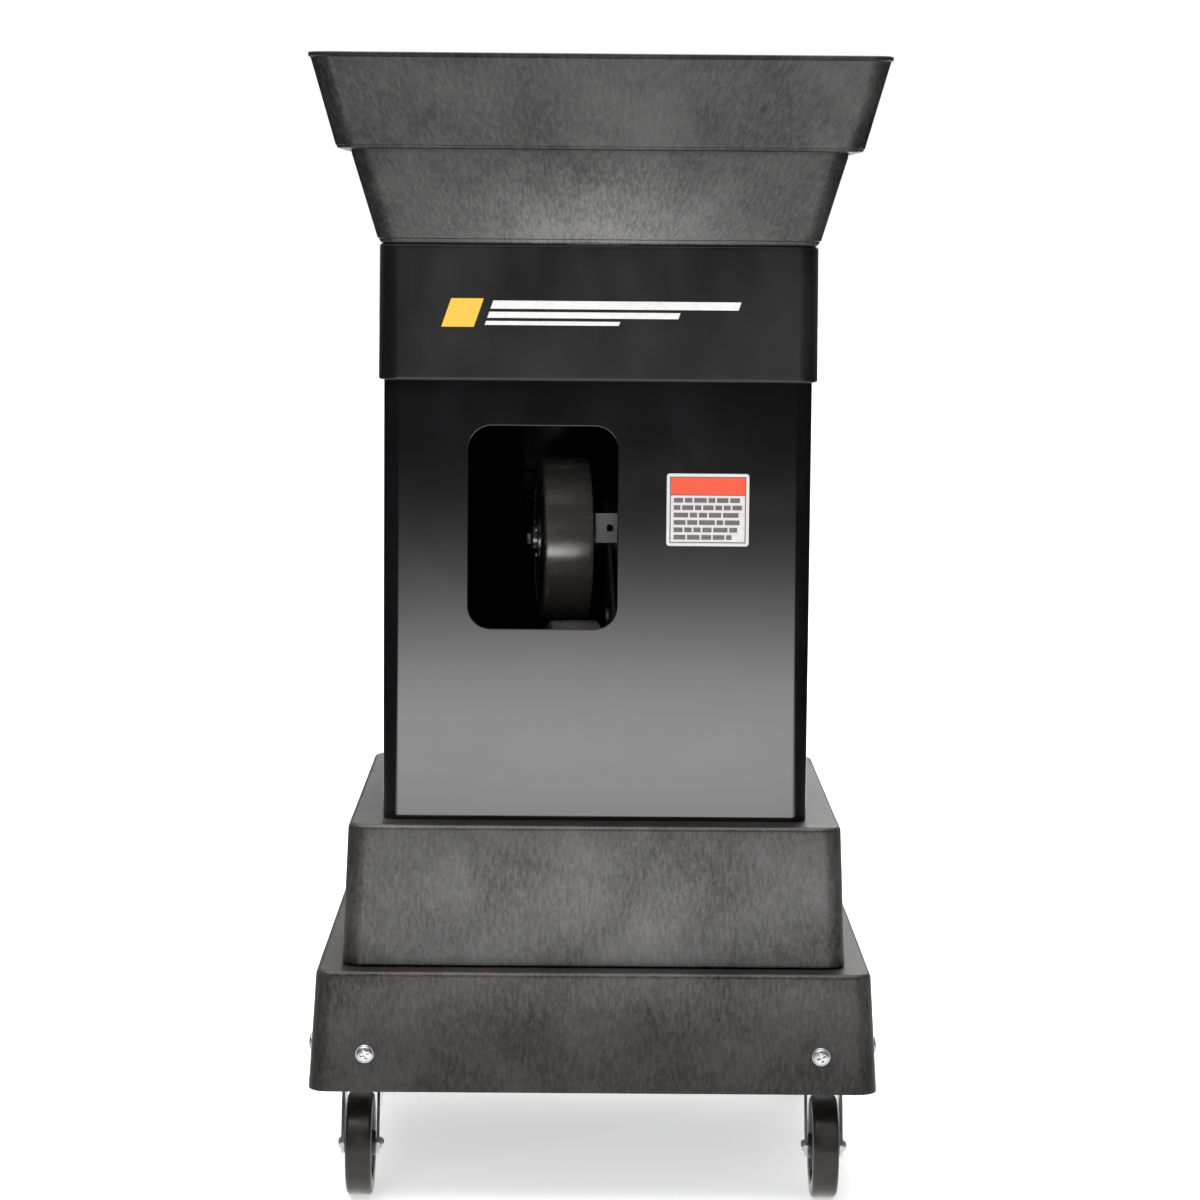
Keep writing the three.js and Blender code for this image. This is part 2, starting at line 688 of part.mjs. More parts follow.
function hopperUpper() {
  const { bottom } = HOPPER_UPPER;
  const half = HOPPER_STEP_OPENING;
  const mouth = plateZ(
    roundedRectangle(-half, half, -half, half, HOPPER_LOWER.corner - MOULDED),
    bottom - OVERCUT,
    bottom + MOULDED + OVERCUT,
  );
  return binTier(HOPPER_UPPER, mouth);
}

function feedDeck() {
  const { bottom, top, half } = FEED_DECK;
  return cut(
    plateZ(roundedRectangle(-half, half, -half, half, COLUMN.corner), bottom, top),
    rodZ(DECK_HOLE.radius, bottom - OVERCUT, top + OVERCUT, DECK_HOLE.x, DECK_HOLE.y),
    rodZ(9, bottom - OVERCUT, top + OVERCUT),
  );
}

// A thick disc with round ball pockets, hollowed below between them, on a short drive shaft.
function feedCarousel() {
  const { bottom, top, radius, pockets, pocketRadius } = CAROUSEL;
  const disc = turned([
    [0, bottom - 7.7], [7, bottom - 7.7], [7, bottom], [radius, bottom], [radius, top - 6],
    [radius - 6, top], [0, top],
  ], 40);
  const tools = [];
  for (let i = 0; i < pockets; i += 1) {
    const angle = POCKET_PHASE + (i / pockets) * 2 * Math.PI;
    const x = POCKET_REACH * Math.cos(angle);
    const y = POCKET_REACH * Math.sin(angle);
    tools.push(rodZ(pocketRadius, bottom - OVERCUT, top + OVERCUT, x, y, 16));
  }
  return cut(disc, ...tools);
}

// A shallow cone that turns the balls over above the carousel.
function carouselCap() {
  const base = CAROUSEL.top + GAP;
  const cone = turned([
    [0, base], [96, base], [92, base + 6], [30, base + 34], [12, base + 40], [0, base + 40],
  ], 32);
  const vane = block(-80, 80, -3, 3, base + 1, base + 20);
  return join(cone, vane);
}

function feedMotor() {
  const top = FEED_DECK.bottom - GAP;
  const { half, front, back, gearbox, radius, offset, length } = FEED_MOTOR;
  return join(
    block(-half, half, front, back, top - gearbox, top),
    rodZ(radius, top - length, top - gearbox + 1, 0, offset),
  );
}

// The tube leans back from the deck hole to the sweep axis.
function dropTube() {
  const start = new THREE.Vector3(DECK_HOLE.x, DECK_HOLE.y, FEED_DECK.bottom - GAP - 3);
  const end = new THREE.Vector3(SWEEP.x, SWEEP.y, ELBOW.mouth + 6);
  const along = end.clone().sub(start).normalize();
  const longer = new THREE.LineCurve3(
    start.clone().addScaledVector(along, -OVERCUT),
    end.clone().addScaledVector(along, OVERCUT),
  );
  return cut(
    bar(new THREE.LineCurve3(start, end), TUBE.outer, 1, 16),
    bar(longer, TUBE.inner, 1, 16),
  );
}

add(machine, 'hopper_lower', hopperLower(), MATERIALS.mouldedShell);
add(machine, 'hopper_upper', hopperUpper(), MATERIALS.mouldedShell);
add(machine, 'feed_deck', feedDeck(), MATERIALS.zinc);
add(machine, 'feed_carousel', feedCarousel(), MATERIALS.nylon);
add(machine, 'carousel_cap', carouselCap(), MATERIALS.nylon);
add(machine, 'feed_motor', feedMotor(), MATERIALS.motorCan);
add(machine, 'drop_tube', dropTube(), MATERIALS.blackSteel);

// ---------------------------------------------------------------- sweep table

// In plan, forward is -Y. A direction is measured from straight ahead towards +X.
function sweepTable() {
  const { teeth, direction, before, after } = SWEEP_GEAR;
  const first = direction - Math.PI / 2 - (before * 2 * Math.PI) / teeth;
  const count = before + after + 1;
  const rack = outline([
    [-20, -20],
    ...teethPoints(teeth, first, count),
  ]);
  const body = outline([
    [42, 20], [78, -16], [78, -150], [10, -178], [-22, -178], [-42, 20], [-20, 42], [20, 42],
  ].reverse());
  return cut(
    join(plateZ(rack, TABLE.bottom, TABLE.top), plateZ(body, TABLE.bottom, TABLE.top)),
    rodZ(TABLE.pivotRadius, TABLE.bottom - OVERCUT, TABLE.top + OVERCUT),
  );
}

const tiltPinion = {
  y: -NIP_REACH + centreDistance(TILT_GEAR.teeth) * Math.cos(TILT_GEAR.direction - ELEVATION),
  z: NIP_HEIGHT + centreDistance(TILT_GEAR.teeth) * Math.sin(TILT_GEAR.direction - ELEVATION),
};

// The upright cheek stands on the table and holds the tilt pin and the tilt motor.
function tiltCheek() {
  const foot = TABLE.top + GAP;
  const side = plateX(outline([
    [-138, foot], [-28, foot], [-72, 500], [-84, 535], [-190, 585], [-214, 580], [-226, 560],
    [-218, 540],
  ]), CHEEK.left, CHEEK.right);
  const flange = block(CHEEK.left, CHEEK.right + 16, -132, -34, foot, foot + 5);
  const { y, z } = tiltPinion;
  return cut(
    join(side, flange),
    rodX(PIN_RADIUS + GAP, CHEEK.left - 1, CHEEK.right + 1, -NIP_REACH, NIP_HEIGHT, 16),
    rodX(9, CHEEK.left - 1, CHEEK.right + 1, y, z, 16),
  );
}

function tiltPin() {
  const y = -NIP_REACH;
  const z = NIP_HEIGHT;
  return join(
    rodX(PIN_RADIUS, HEAD_PLATE.left - 2, CHEEK.right + 6, y, z, 16),
    rodX(14, HEAD_PLATE.left - 4, HEAD_PLATE.left - GAP, y, z, 16),
    rodX(13, HEAD_PLATE.right + GAP, CHEEK.left - GAP, y, z, 16),
    rodX(14, CHEEK.right + GAP, CHEEK.right + 7, y, z, 6),
  );
}

function tiltMotor() {
  const { y, z } = tiltPinion;
  const face = CHEEK.right + GAP;
  const { half, gearbox, radius, length } = TILT_MOTOR;
  return join(
    block(face, face + gearbox, y - half, y + half, z - half, z + half),
    rodX(radius, face + gearbox - 1, face + length, y, z),
  );
}

function tiltPinionSolid() {
  const { y, z } = tiltPinion;
  const mate = TILT_GEAR.direction - ELEVATION + Math.PI;
  const gear = plateX(pinionShape(mate), HEAD_PLATE.left - 1, HEAD_PLATE.right + 1);
  return join(
    gear.translate(0, y, z),
    rodX(DRIVE_SHAFT_RADIUS, HEAD_PLATE.right, CHEEK.right - GAP, y, z),
  );
}

// The pipe drops on the sweep axis, bends forward and rises towards the wheels.
function elbowPath(extra) {
  const { bend, rise, end, mouth } = ELBOW;
  const lead = (NIP_REACH - bend * (1 + Math.sin(rise))) / Math.cos(rise);
  const bendHeight = NIP_HEIGHT - lead * Math.sin(rise) + bend * Math.cos(rise);
  const points = [new THREE.Vector3(0, 0, mouth + extra), new THREE.Vector3(0, 0, mouth - 45)];
  const turns = 6;
  for (let i = 0; i <= turns; i += 1) {
    const angle = (i / turns) * (Math.PI / 2 + rise);
    points.push(new THREE.Vector3(
      0, -bend + bend * Math.cos(angle), bendHeight - bend * Math.sin(angle),
    ));
  }
  const reach = end - extra;
  points.push(new THREE.Vector3(
    0, -NIP_REACH + reach * Math.cos(rise), NIP_HEIGHT - reach * Math.sin(rise),
  ));
  return new THREE.CatmullRomCurve3(points, false, 'centripetal');
}

function ballElbow() {
  const steps = 13;
  const foot = block(-5, 5, -95, -45, TABLE.top + GAP, 470);
  const sole = block(-24, 24, -100, -40, TABLE.top + GAP, TABLE.top + 5);
  const pipe = join(bar(elbowPath(0), TUBE.outer, steps, 16), foot, sole);
  return cut(pipe, bar(elbowPath(OVERCUT), TUBE.inner, steps, 16));
}

add(sweepFrame, 'sweep_table', sweepTable(), MATERIALS.zinc);
add(sweepFrame, 'tilt_cheek', tiltCheek(), MATERIALS.blackSteel);
add(sweepFrame, 'tilt_pin', tiltPin(), MATERIALS.zinc);
add(sweepFrame, 'tilt_motor', tiltMotor(), MATERIALS.motorCan);
add(sweepFrame, 'tilt_pinion', tiltPinionSolid(), MATERIALS.nylon);
add(sweepFrame, 'ball_elbow', ballElbow(), MATERIALS.blackSteel);

// ---------------------------------------------------------------- throwing head

// In the head frame, +Z runs from the lower wheel to the upper one and -Y is the way out.
function headPlate() {
  const { left, right } = HEAD_PLATE;
  const { teeth, direction, before, after } = TILT_GEAR;
  const first = direction - (before * 2 * Math.PI) / teeth;
  const count = before + after + 1;
  const sector = outline([[0, 0], ...teethPoints(teeth, first, count)]);
  const end = WHEEL_OFFSET + WHEEL_MOTOR.radius + 4;
  const half = WHEEL_MOTOR.radius + 2;
  const spine = roundedRectangle(-half, half, -end, end, half - 4);
  const shafts = [-WHEEL_OFFSET, WHEEL_OFFSET].map((z) =>
    rodX(HUB_RADIUS + 1, left - OVERCUT, right + OVERCUT, 0, z, 16));
  return cut(
    join(plateX(sector, left, right), plateX(spine, left, right)),
    rodX(PIN_RADIUS + GAP, left - OVERCUT, right + OVERCUT, 0, 0, 16),
    ...shafts,
  );
}

// A moulded wheel with a crowned tread and dished faces.
function throwingWheel(z) {
  const { radius, halfWidth } = WHEEL;
  const bore = HUB_RADIUS + GAP;
  const side = [
    [bore, 0], [32, 0], [36, 6], [radius - 18, 6], [radius - 15, 0], [radius - 3, 0],
  ];
  const left = side.map(([r, depth]) => [r, -halfWidth + depth]);
  const right = side.map(([r, depth]) => [r, halfWidth - depth]).reverse();
  return turned([...left, [radius, -halfWidth + 6], [radius, halfWidth - 6], ...right, left[0]], 32)
    .rotateY(Math.PI / 2)
    .translate(0, 0, z);
}

// The hub bush passes through the wheel, and its stub reaches into the head plate.
function wheelHub(z) {
  const { halfWidth } = WHEEL;
  return join(
    rodX(HUB_RADIUS, -halfWidth - 8, halfWidth + 4, 0, z, 20),
    rodX(HUB_RADIUS - 4, halfWidth + 3, HEAD_PLATE.right - 0.5, 0, z, 16),
    rodX(5, -halfWidth - 12, -halfWidth - 7, 0, z, 6),
  );
}

function wheelMotor(z) {
  const face = HEAD_PLATE.right + GAP;
  const { radius, length } = WHEEL_MOTOR;
  return join(
    rodX(radius, face, face + length, 0, z, 24),
    rodX(14, face + length - 1, face + length + 10, 0, z, 16),
    block(face + 60, face + 78, -14, 14, z, z + radius + 6),
  );
}

// A plated angle bracket on the head plate: its face looks straight ahead when parked.
function motorBracket() {
  const { left, right, front, bottom, height } = BRACKET;
  const hole = rodY(4, front - OVERCUT, front + SHEET + OVERCUT, left + 15, bottom + 15.5, 12);
  const face = block(left, right, front, front + SHEET, bottom, bottom + height);
  const armRight = HEAD_PLATE.left - GAP;
  const arm = block(armRight - SHEET, armRight, front + 1, front + 34, bottom + 3, bottom + height);
  return cut(join(face, arm), hole);
}

add(sweepFrame, 'motor_bracket', motorBracket(), MATERIALS.zinc);

const headNodes = [
  ['head_plate', headPlate(), MATERIALS.blackSteel],
  ['upper_wheel', throwingWheel(WHEEL_OFFSET), MATERIALS.wheelTread],
  ['upper_hub', wheelHub(WHEEL_OFFSET), MATERIALS.aluminium],
  ['upper_motor', wheelMotor(WHEEL_OFFSET), MATERIALS.motorCan],
  ['lower_wheel', throwingWheel(-WHEEL_OFFSET), MATERIALS.wheelTread],
  ['lower_hub', wheelHub(-WHEEL_OFFSET), MATERIALS.aluminium],
  ['lower_motor', wheelMotor(-WHEEL_OFFSET), MATERIALS.motorCan],
];
for (const [name, geometry, material] of headNodes) add(headFrame, name, geometry, material);

export default machine;
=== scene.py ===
import json
import math
import random

import bmesh
import bpy
from mathutils import Matrix, Vector, noise

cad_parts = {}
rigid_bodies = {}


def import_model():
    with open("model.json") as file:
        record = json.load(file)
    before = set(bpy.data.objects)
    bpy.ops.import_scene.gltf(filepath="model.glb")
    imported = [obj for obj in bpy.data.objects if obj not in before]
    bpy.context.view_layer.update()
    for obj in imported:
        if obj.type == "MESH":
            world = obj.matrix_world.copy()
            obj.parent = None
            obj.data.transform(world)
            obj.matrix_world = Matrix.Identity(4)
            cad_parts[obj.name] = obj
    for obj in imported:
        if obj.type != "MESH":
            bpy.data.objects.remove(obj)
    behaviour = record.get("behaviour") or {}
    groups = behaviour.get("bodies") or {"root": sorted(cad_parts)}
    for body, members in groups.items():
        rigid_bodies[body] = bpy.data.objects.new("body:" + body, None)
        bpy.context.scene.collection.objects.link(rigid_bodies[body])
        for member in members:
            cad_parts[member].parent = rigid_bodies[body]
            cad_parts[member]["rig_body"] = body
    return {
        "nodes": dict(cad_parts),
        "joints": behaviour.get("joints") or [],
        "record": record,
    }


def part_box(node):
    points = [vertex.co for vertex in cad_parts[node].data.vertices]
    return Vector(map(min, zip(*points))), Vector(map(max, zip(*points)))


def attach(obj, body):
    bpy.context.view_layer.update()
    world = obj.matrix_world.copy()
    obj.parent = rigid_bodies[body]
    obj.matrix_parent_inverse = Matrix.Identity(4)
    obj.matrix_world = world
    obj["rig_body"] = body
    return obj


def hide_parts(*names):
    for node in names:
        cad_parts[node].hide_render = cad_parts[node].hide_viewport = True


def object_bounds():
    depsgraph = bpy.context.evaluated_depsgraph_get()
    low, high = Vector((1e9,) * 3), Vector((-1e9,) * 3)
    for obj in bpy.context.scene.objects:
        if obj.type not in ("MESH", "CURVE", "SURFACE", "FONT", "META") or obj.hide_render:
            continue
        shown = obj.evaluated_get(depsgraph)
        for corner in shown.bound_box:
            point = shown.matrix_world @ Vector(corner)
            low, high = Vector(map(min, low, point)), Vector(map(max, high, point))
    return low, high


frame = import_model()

NODES = frame["nodes"]
JOINTS = {joint["name"]: joint for joint in frame["joints"]}
CAD_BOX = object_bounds()
CORNERS = ("front_left", "front_right", "rear_left", "rear_right")
KNOBS = ("speed_knob", "feed_knob", "spin_knob")
ROCKERS = ("elevation_rocker", "power_rocker")
QUARTER = math.pi / 2

# ---- driving dimensions

WALL = 0.004  # of the moulded tiers
SHEET = 0.003  # of the column covers
LOWER_LEDGE = 0.238  # half-width of the hole in the lower base tier's ledge
UPPER_LEDGE = 0.201
STEP_OPENING = 0.239  # half-width of the hole in the upper hopper tier's floor
TIER_CORNER = 0.020
COLUMN_CORNER = 0.016
WINDOW = {"left": -0.1276, "right": 0.0202, "bottom": 0.569, "top": 0.771, "corner": 0.023}
PANEL_HOLE = {"left": 0.028, "right": 0.178, "bottom": 0.610, "top": 0.760, "corner": 0.008}
SCREW_REACH = 0.2255  # of the base screws from the middle of each side
SCREW_HEIGHT = 0.1535
WAVE = 0.00022  # how far the moulded walls stray from flat
CORNER_STEPS = 12
SIDE_STEPS = 16
MERGE = 1e-6  # points nearer than this are one
FLAT_BEND = math.radians(0.5)  # faces that meet flatter than this are one
FIT = 0.0003  # gap or step between pieces that meet
PRINT = {"sunk": 0.0002, "proud": 0.00012}  # printed marks in the face that carries them
CAUTION = {"inset": 0.0030, "line": 0.0011, "band": 0.0165, "rows": 6, "seed": 7}  # the plate
STRIPE_LEAN = 0.35
THROWER = {"radius": 0.086, "half": 0.026, "spokes": 8, "motor_offset": 0.0463}
MOTOR = {"radius": 0.036, "length": 0.092, "rib": 0.0062}
POCKET_RADIUS = 0.038
KNOB_TURN = 135  # degrees either way
TICKS = 11
FLOOR_HALF = 30.0
FLOOR_GLOW = {"full": 1.5, "gone": 6.0, "near": 0.48, "far": 0.95}  # white out to the background
POOL = {"reach": 3.05, "height": 2.87, "radiance": 7.0}  # lit floor that the gloss front mirrors
POOL_SIDE = {"middle": 0.2, "full": 0.55, "gone": 1.6}  # where the lit floor ends at each side
POOL_LIFT = 0.001  # of the lit floor over the studio floor
REAR_POOL = 0.5  # share of the light that the floor behind the machine has
NEAR_GLOW = {"full": 1.0, "gone": 4.0, "radiance": 0.3}  # pale floor close round the machine
WORLD = {"behind": (0.15, 0.6, 0.0, 0.30), "above": (0.35, 0.9, 0.0, 0.7), "least": 0.03}
CAMERA = {"lens": 106.93, "place": (-0.01825, -3.73174, 0.97315), "turn": -0.0062,
          "tip": -0.106, "roll": 0.0085}
LIGHTS = (  # name, place, what it points at, size, watts, seen in reflections
    ("top_light", (-0.5, -0.4, 3.4), (0, 0, 0), (3.2, 3.2), 150, True),
    ("front_fill", (-0.9, -4.6, 2.2), (0, 0, 0.6), (2.6, 2.0), 42, False),
    ("back_light", (0.8, 3.4, 2.6), (0, 0, 0.6), (2.6, 2.0), 60, True),
)


def add_object(name, data):
    made = bpy.data.objects.new(name, data)
    bpy.context.scene.collection.objects.link(made)
    return made


# ---- materials

class Graph:
    """A node tree, with short ways to add nodes to it."""

    def __init__(self, tree):
        self.nodes = tree.nodes
        self.links = tree.links

    def node(self, kind, inputs=(), **settings):
        node = self.nodes.new(kind)
        for key, value in settings.items():
            setattr(node, key, value)
        for socket, value in dict(inputs).items():
            if isinstance(value, bpy.types.NodeSocket):
                self.links.new(value, node.inputs[socket])
            else:
                node.inputs[socket].default_value = value
        return node

    def math(self, operation, first, second=0.0):
        node = self.node("ShaderNodeMath", {0: first, 1: second}, operation=operation)
        return node.outputs["Value"]

    def times(self, first, second):
        return self.math("MULTIPLY", first, second)

    def plus(self, first, second):
        return self.math("ADD", first, second)

    def vector(self, operation, inputs, output="Vector"):
        return self.node("ShaderNodeVectorMath", inputs, operation=operation).outputs[output]

    def axes(self, vector):
        return self.node("ShaderNodeSeparateXYZ", {"Vector": vector}).outputs

    def remap(self, value, low, high, to_low=0.0, to_high=1.0, shape="LINEAR"):
        inputs = {"Value": value, "From Min": low, "From Max": high}
        inputs.update({"To Min": to_low, "To Max": to_high})
        return self.node("ShaderNodeMapRange", inputs, interpolation_type=shape).outputs["Result"]

    def fading(self, value, span):
        """1 up to the span's full value, falling smoothly to 0 where it is gone."""
        return self.remap(value, span["full"], span["gone"], 1.0, 0.0, "SMOOTHSTEP")


class Finish(Graph):
    """A Principled material, with short ways to give it procedural detail."""

    def __init__(self, name, color, roughness, metallic=0.0, **sockets):
        self.material = bpy.data.materials.new(name)
        self.material.use_nodes = True
        super().__init__(self.material.node_tree)
        self.shader = self.nodes["Principled BSDF"]
        self.shader.inputs["Base Color"].default_value = (*color, 1)
        self.shader.inputs["Roughness"].default_value = roughness
        self.shader.inputs["Metallic"].default_value = metallic
        for socket, value in sockets.items():
            self.shader.inputs[socket.replace("_", " ")].default_value = value
        self.place = self.node("ShaderNodeTexCoord").outputs["Object"]

    def feed(self, socket, value):
        self.links.new(value, self.shader.inputs[socket])

    def stretched(self, x, y, z):
        inputs = {"Vector": self.place, "Scale": (x, y, z)}
        return self.node("ShaderNodeMapping", inputs).outputs["Vector"]

    def fanned(self, focus):
        """Coordinates whose lines spread out upward from a point at height focus."""
        x, y, z = self.axes(self.place)
        rise = self.math("SUBTRACT", z, focus)
        across = self.math("DIVIDE", x, rise)
        along = self.math("DIVIDE", y, rise)
        inputs = {"X": across, "Y": along, "Z": self.times(rise, 0.4)}
        return self.node("ShaderNodeCombineXYZ", inputs).outputs["Vector"]

    def noise(self, vector, scale, detail=4.0, distortion=0.0):
        inputs = {"Vector": vector, "Scale": scale, "Detail": detail, "Distortion": distortion}
        return self.node("ShaderNodeTexNoise", inputs).outputs["Fac"]

    def cells(self, vector, scale):
        inputs = {"Vector": vector, "Scale": scale}
        return self.node("ShaderNodeTexVoronoi", inputs).outputs["Distance"]

    def patch(self, height, wide, tall):
        """High near the middle of each side of a square piece, about a height: the mask of a painted
        highlight.
        """
        x, y, z = self.axes(self.place)
        nearer = self.math("MINIMUM", self.math("ABSOLUTE", x), self.math("ABSOLUTE", y))
        aside = self.math("DIVIDE", nearer, wide)
        above = self.math("DIVIDE", self.math("SUBTRACT", z, height), tall)
        squares = self.plus(self.times(aside, aside), self.times(above, above))
        return self.math("POWER", 1 / math.e, squares)

    def within(self, half, corner, depth):
        """1 deeper than a depth inside an upright square with rounded corners, else 0."""
        size = self.vector("ABSOLUTE", {0: self.stretched(1, 1, 0)})
        past = self.vector("SUBTRACT", {0: size, 1: (half - corner, half - corner, 0)})
        past = self.vector("MAXIMUM", {0: past, 1: (0, 0, 0)})
        return self.math("LESS_THAN", self.vector("LENGTH", {0: past}, "Value"), corner - depth)

    def along(self, axis, share):
        """Coordinates squeezed along an axis, so that texture runs out in lines along it."""
        dot = self.vector("DOT_PRODUCT", {0: self.place, 1: axis}, "Value")
        drop = self.vector("SCALE", {0: axis, "Scale": self.times(dot, 1 - share)})
        return self.vector("SUBTRACT", {0: self.place, 1: drop})

    def edges(self, least=0.515):
        """High along outside edges, where handling wears a surface."""
        pointed = self.node("ShaderNodeNewGeometry").outputs["Pointiness"]
        return self.remap(pointed, least, least + 0.085)

    def tint(self, factor, color):
        base = self.shader.inputs["Base Color"]
        under = base.links[0].from_socket if base.is_linked else tuple(base.default_value)
        inputs = {"Fac": factor, "Color1": under, "Color2": (*color, 1)}
        self.feed("Base Color", self.node("ShaderNodeMixRGB", inputs).outputs["Color"])

    def rough(self, factor, low, high):
        self.feed("Roughness", self.remap(factor, 0.3, 0.7, low, high))

    def bump(self, height, distance, strength=1.0):
        normal = self.shader.inputs["Normal"]
        inputs = {"Height": height, "Distance": distance, "Strength": strength}
        if normal.is_linked:
            inputs["Normal"] = normal.links[0].from_socket
        self.feed("Normal", self.node("ShaderNodeBump", inputs).outputs["Normal"])


def scaled(color, share):
    return tuple(share * part for part in color)


def moulded_finish(name, color, light, shine, patch, focus=None):
    """Black moulded shell with streaks, upright or fanned, grain and a paler painted highlight patch.

    The patch is its height, how wide and tall it is, and how much brighter the painted highlight is.
    """
    made = Finish(name, color, 0.45)
    if focus is None:
        lines, fine = made.stretched(1, 1, 0.30), 330.0
    else:
        lines, fine = made.fanned(focus), 130.0
    streaks = made.noise(lines, fine, 8.0, 0.5)
    cloud = made.noise(made.place, 13.0, 6.0, 0.4)
    mottle = made.noise(made.place, 330.0, 5.0)
    grain = made.noise(made.place, 1300.0, 2.0)
    made.tint(made.remap(streaks, 0.44, 0.66, 0.0, 0.7), light)
    made.tint(made.remap(cloud, 0.46, 0.72, 0.0, 0.6), light)
    # Painted highlight: a paler streaked patch stands in for light reflected there, and the same mask
    # raises the specular level.
    *spot, gain = patch
    painted_highlight = made.times(made.patch(*spot), gain)
    painted_highlight_streaks = made.times(painted_highlight, made.remap(streaks, 0.36, 0.62, 0.1, 0.6))
    made.tint(painted_highlight_streaks, scaled(light, 3.0))
    specks = made.remap(made.noise(made.place, 420.0, 3.0), 0.68, 0.76, 0.0, 0.35)
    made.tint(specks, scaled(light, 2.4))
    made.tint(made.times(made.edges(0.57), 0.4), scaled(light, 1.8))
    fine_mix = made.times(made.plus(streaks, mottle), 0.5)
    mix = made.times(made.plus(fine_mix, cloud), 0.5)
    made.rough(mix, 0.36, 0.52)
    level = made.remap(mix, 0.36, 0.64, 0.45 * shine, 1.55 * shine)
    level = made.times(level, made.plus(painted_highlight, 1.0))
    made.feed("Specular IOR Level", level)
    made.bump(streaks, 0.0003, 0.25)
    made.bump(mottle, 0.0002, 0.25)
    made.bump(grain, 0.00012, 0.4)
    return made.material


def collar_finish():
    made = Finish("collar_moulding", (0.005, 0.005, 0.0055), 0.30, Specular_IOR_Level=0.3)
    cloud = made.noise(made.stretched(1, 1, 0.5), 16.0, 4.0)
    made.tint(made.remap(cloud, 0.45, 0.75, 0.0, 0.8), (0.013, 0.013, 0.013))
    made.tint(made.times(made.edges(0.57), 0.5), (0.08, 0.08, 0.08))
    made.rough(cloud, 0.24, 0.38)
    made.bump(made.noise(made.place, 320.0, 3.0), 0.0001, 0.12)
    return made.material


def gloss_finish(half):
    """Gloss black paint with a little orange peel and faint hazing; matt inside the covers."""
    made = Finish("gloss_black_paint", (0.0045, 0.0045, 0.005), 0.07)
    inside = made.within(half, COLUMN_CORNER, SHEET / 2)
    outside = made.math("SUBTRACT", 1.0, inside)
    haze = made.noise(made.place, 9.0, 5.0, 0.8)
    made.tint(made.remap(haze, 0.5, 0.8, 0.0, 0.6), (0.009, 0.009, 0.010))
    made.tint(inside, (0.003, 0.003, 0.003))
    shine = made.times(made.remap(haze, 0.3, 0.7, 0.055, 0.10), outside)
    matt = made.times(inside, 0.9)
    made.feed("Roughness", made.plus(shine, matt))
    level = made.plus(made.times(outside, 0.42), 0.08)
    made.feed("Specular IOR Level", level)
    made.bump(made.noise(made.place, 150.0, 2.0), 0.00004, 0.06)
    return made.material


def coated_steel_finish():
    made = Finish("satin_black_steel", (0.006, 0.006, 0.0065), 0.55, Specular_IOR_Level=0.3)
    grain = made.noise(made.place, 700.0, 3.0)
    made.tint(made.remap(made.noise(made.place, 20.0), 0.4, 0.8, 0.0, 0.7), (0.012, 0.012, 0.0125))
    made.tint(made.times(made.edges(), 0.5), (0.10, 0.10, 0.105))
    made.rough(grain, 0.46, 0.66)
    made.bump(grain, 0.0001, 0.35)
    return made.material


def zinc_finish():
    """Bright zinc plate: faint spangle, drawn lines and dull patches."""
    made = Finish("zinc_plate", (0.50, 0.50, 0.51), 0.3, 1.0)
    spangle = made.cells(made.place, 260.0)
    cloud = made.noise(made.place, 35.0, 5.0)
    made.tint(made.remap(spangle, 0.1, 0.8, 0.0, 0.5), (0.38, 0.38, 0.39))
    made.tint(made.remap(cloud, 0.55, 0.8, 0.0, 0.5), (0.27, 0.265, 0.26))
    made.rough(cloud, 0.22, 0.46)
    made.bump(made.noise(made.stretched(1, 1, 12), 160.0, 3.0), 0.00006, 0.3)
    return made.material


def rubber_finish(name, color, dust, roughness):
    made = Finish(name, color, roughness, Specular_IOR_Level=0.35)
    cloud = made.noise(made.place, 60.0, 6.0)
    made.tint(made.remap(cloud, 0.45, 0.75), dust)
    made.tint(made.times(made.edges(), 0.6), scaled(dust, 1.6))
    made.rough(cloud, roughness - 0.09, roughness + 0.12)
    made.bump(made.noise(made.place, 800.0, 3.0), 0.0002, 0.35)
    return made.material


def tread_finish(axis):
    """Urethane tread polished by the balls, with fine scuff lines across it."""
    made = Finish("wheel_tread", (0.066, 0.063, 0.058), 0.3, Specular_IOR_Level=1.0)
    lines = made.noise(made.along(tuple(axis), 0.03), 200.0, 2.0)
    scuffs = made.noise(made.place, 55.0, 5.0)
    made.tint(made.remap(lines, 0.2, 0.8, 0.2, 0.7), (0.13, 0.124, 0.114))
    made.tint(made.remap(scuffs, 0.55, 0.75, 0.0, 0.5), (0.13, 0.122, 0.11))
    made.rough(made.times(made.plus(lines, scuffs), 0.5), 0.2, 0.32)
    made.bump(scuffs, 0.0001, 0.06)
    return made.material


def metal_finish(name, color, low, high):
    made = Finish(name, color, low, 1.0)
    lines = made.noise(made.stretched(1, 6, 6), 240.0, 4.0)
    made.tint(made.remap(lines, 0.4, 0.8, 0.0, 0.6), scaled(color, 0.7))
    made.rough(lines, low, high)
    made.bump(lines, 0.00006, 0.35)
    return made.material


def plastic_finish(name, color, light, roughness, grain=600.0):
    made = Finish(name, color, roughness)
    cloud = made.noise(made.place, 40.0, 5.0)
    made.tint(made.remap(cloud, 0.4, 0.8), light)
    made.rough(cloud, roughness - 0.05, roughness + 0.08)
    made.bump(made.noise(made.place, grain, 3.0), 0.0001, 0.3)
    return made.material


def print_finish(name, color, faded):
    made = Finish(name, color, 0.4)
    made.tint(made.remap(made.noise(made.place, 160.0, 5.0), 0.4, 0.8, 0.0, 0.8), faded)
    made.bump(made.noise(made.place, 1500.0, 2.0), 0.00003, 0.3)
    return made.material


# ---- camera, floor and light

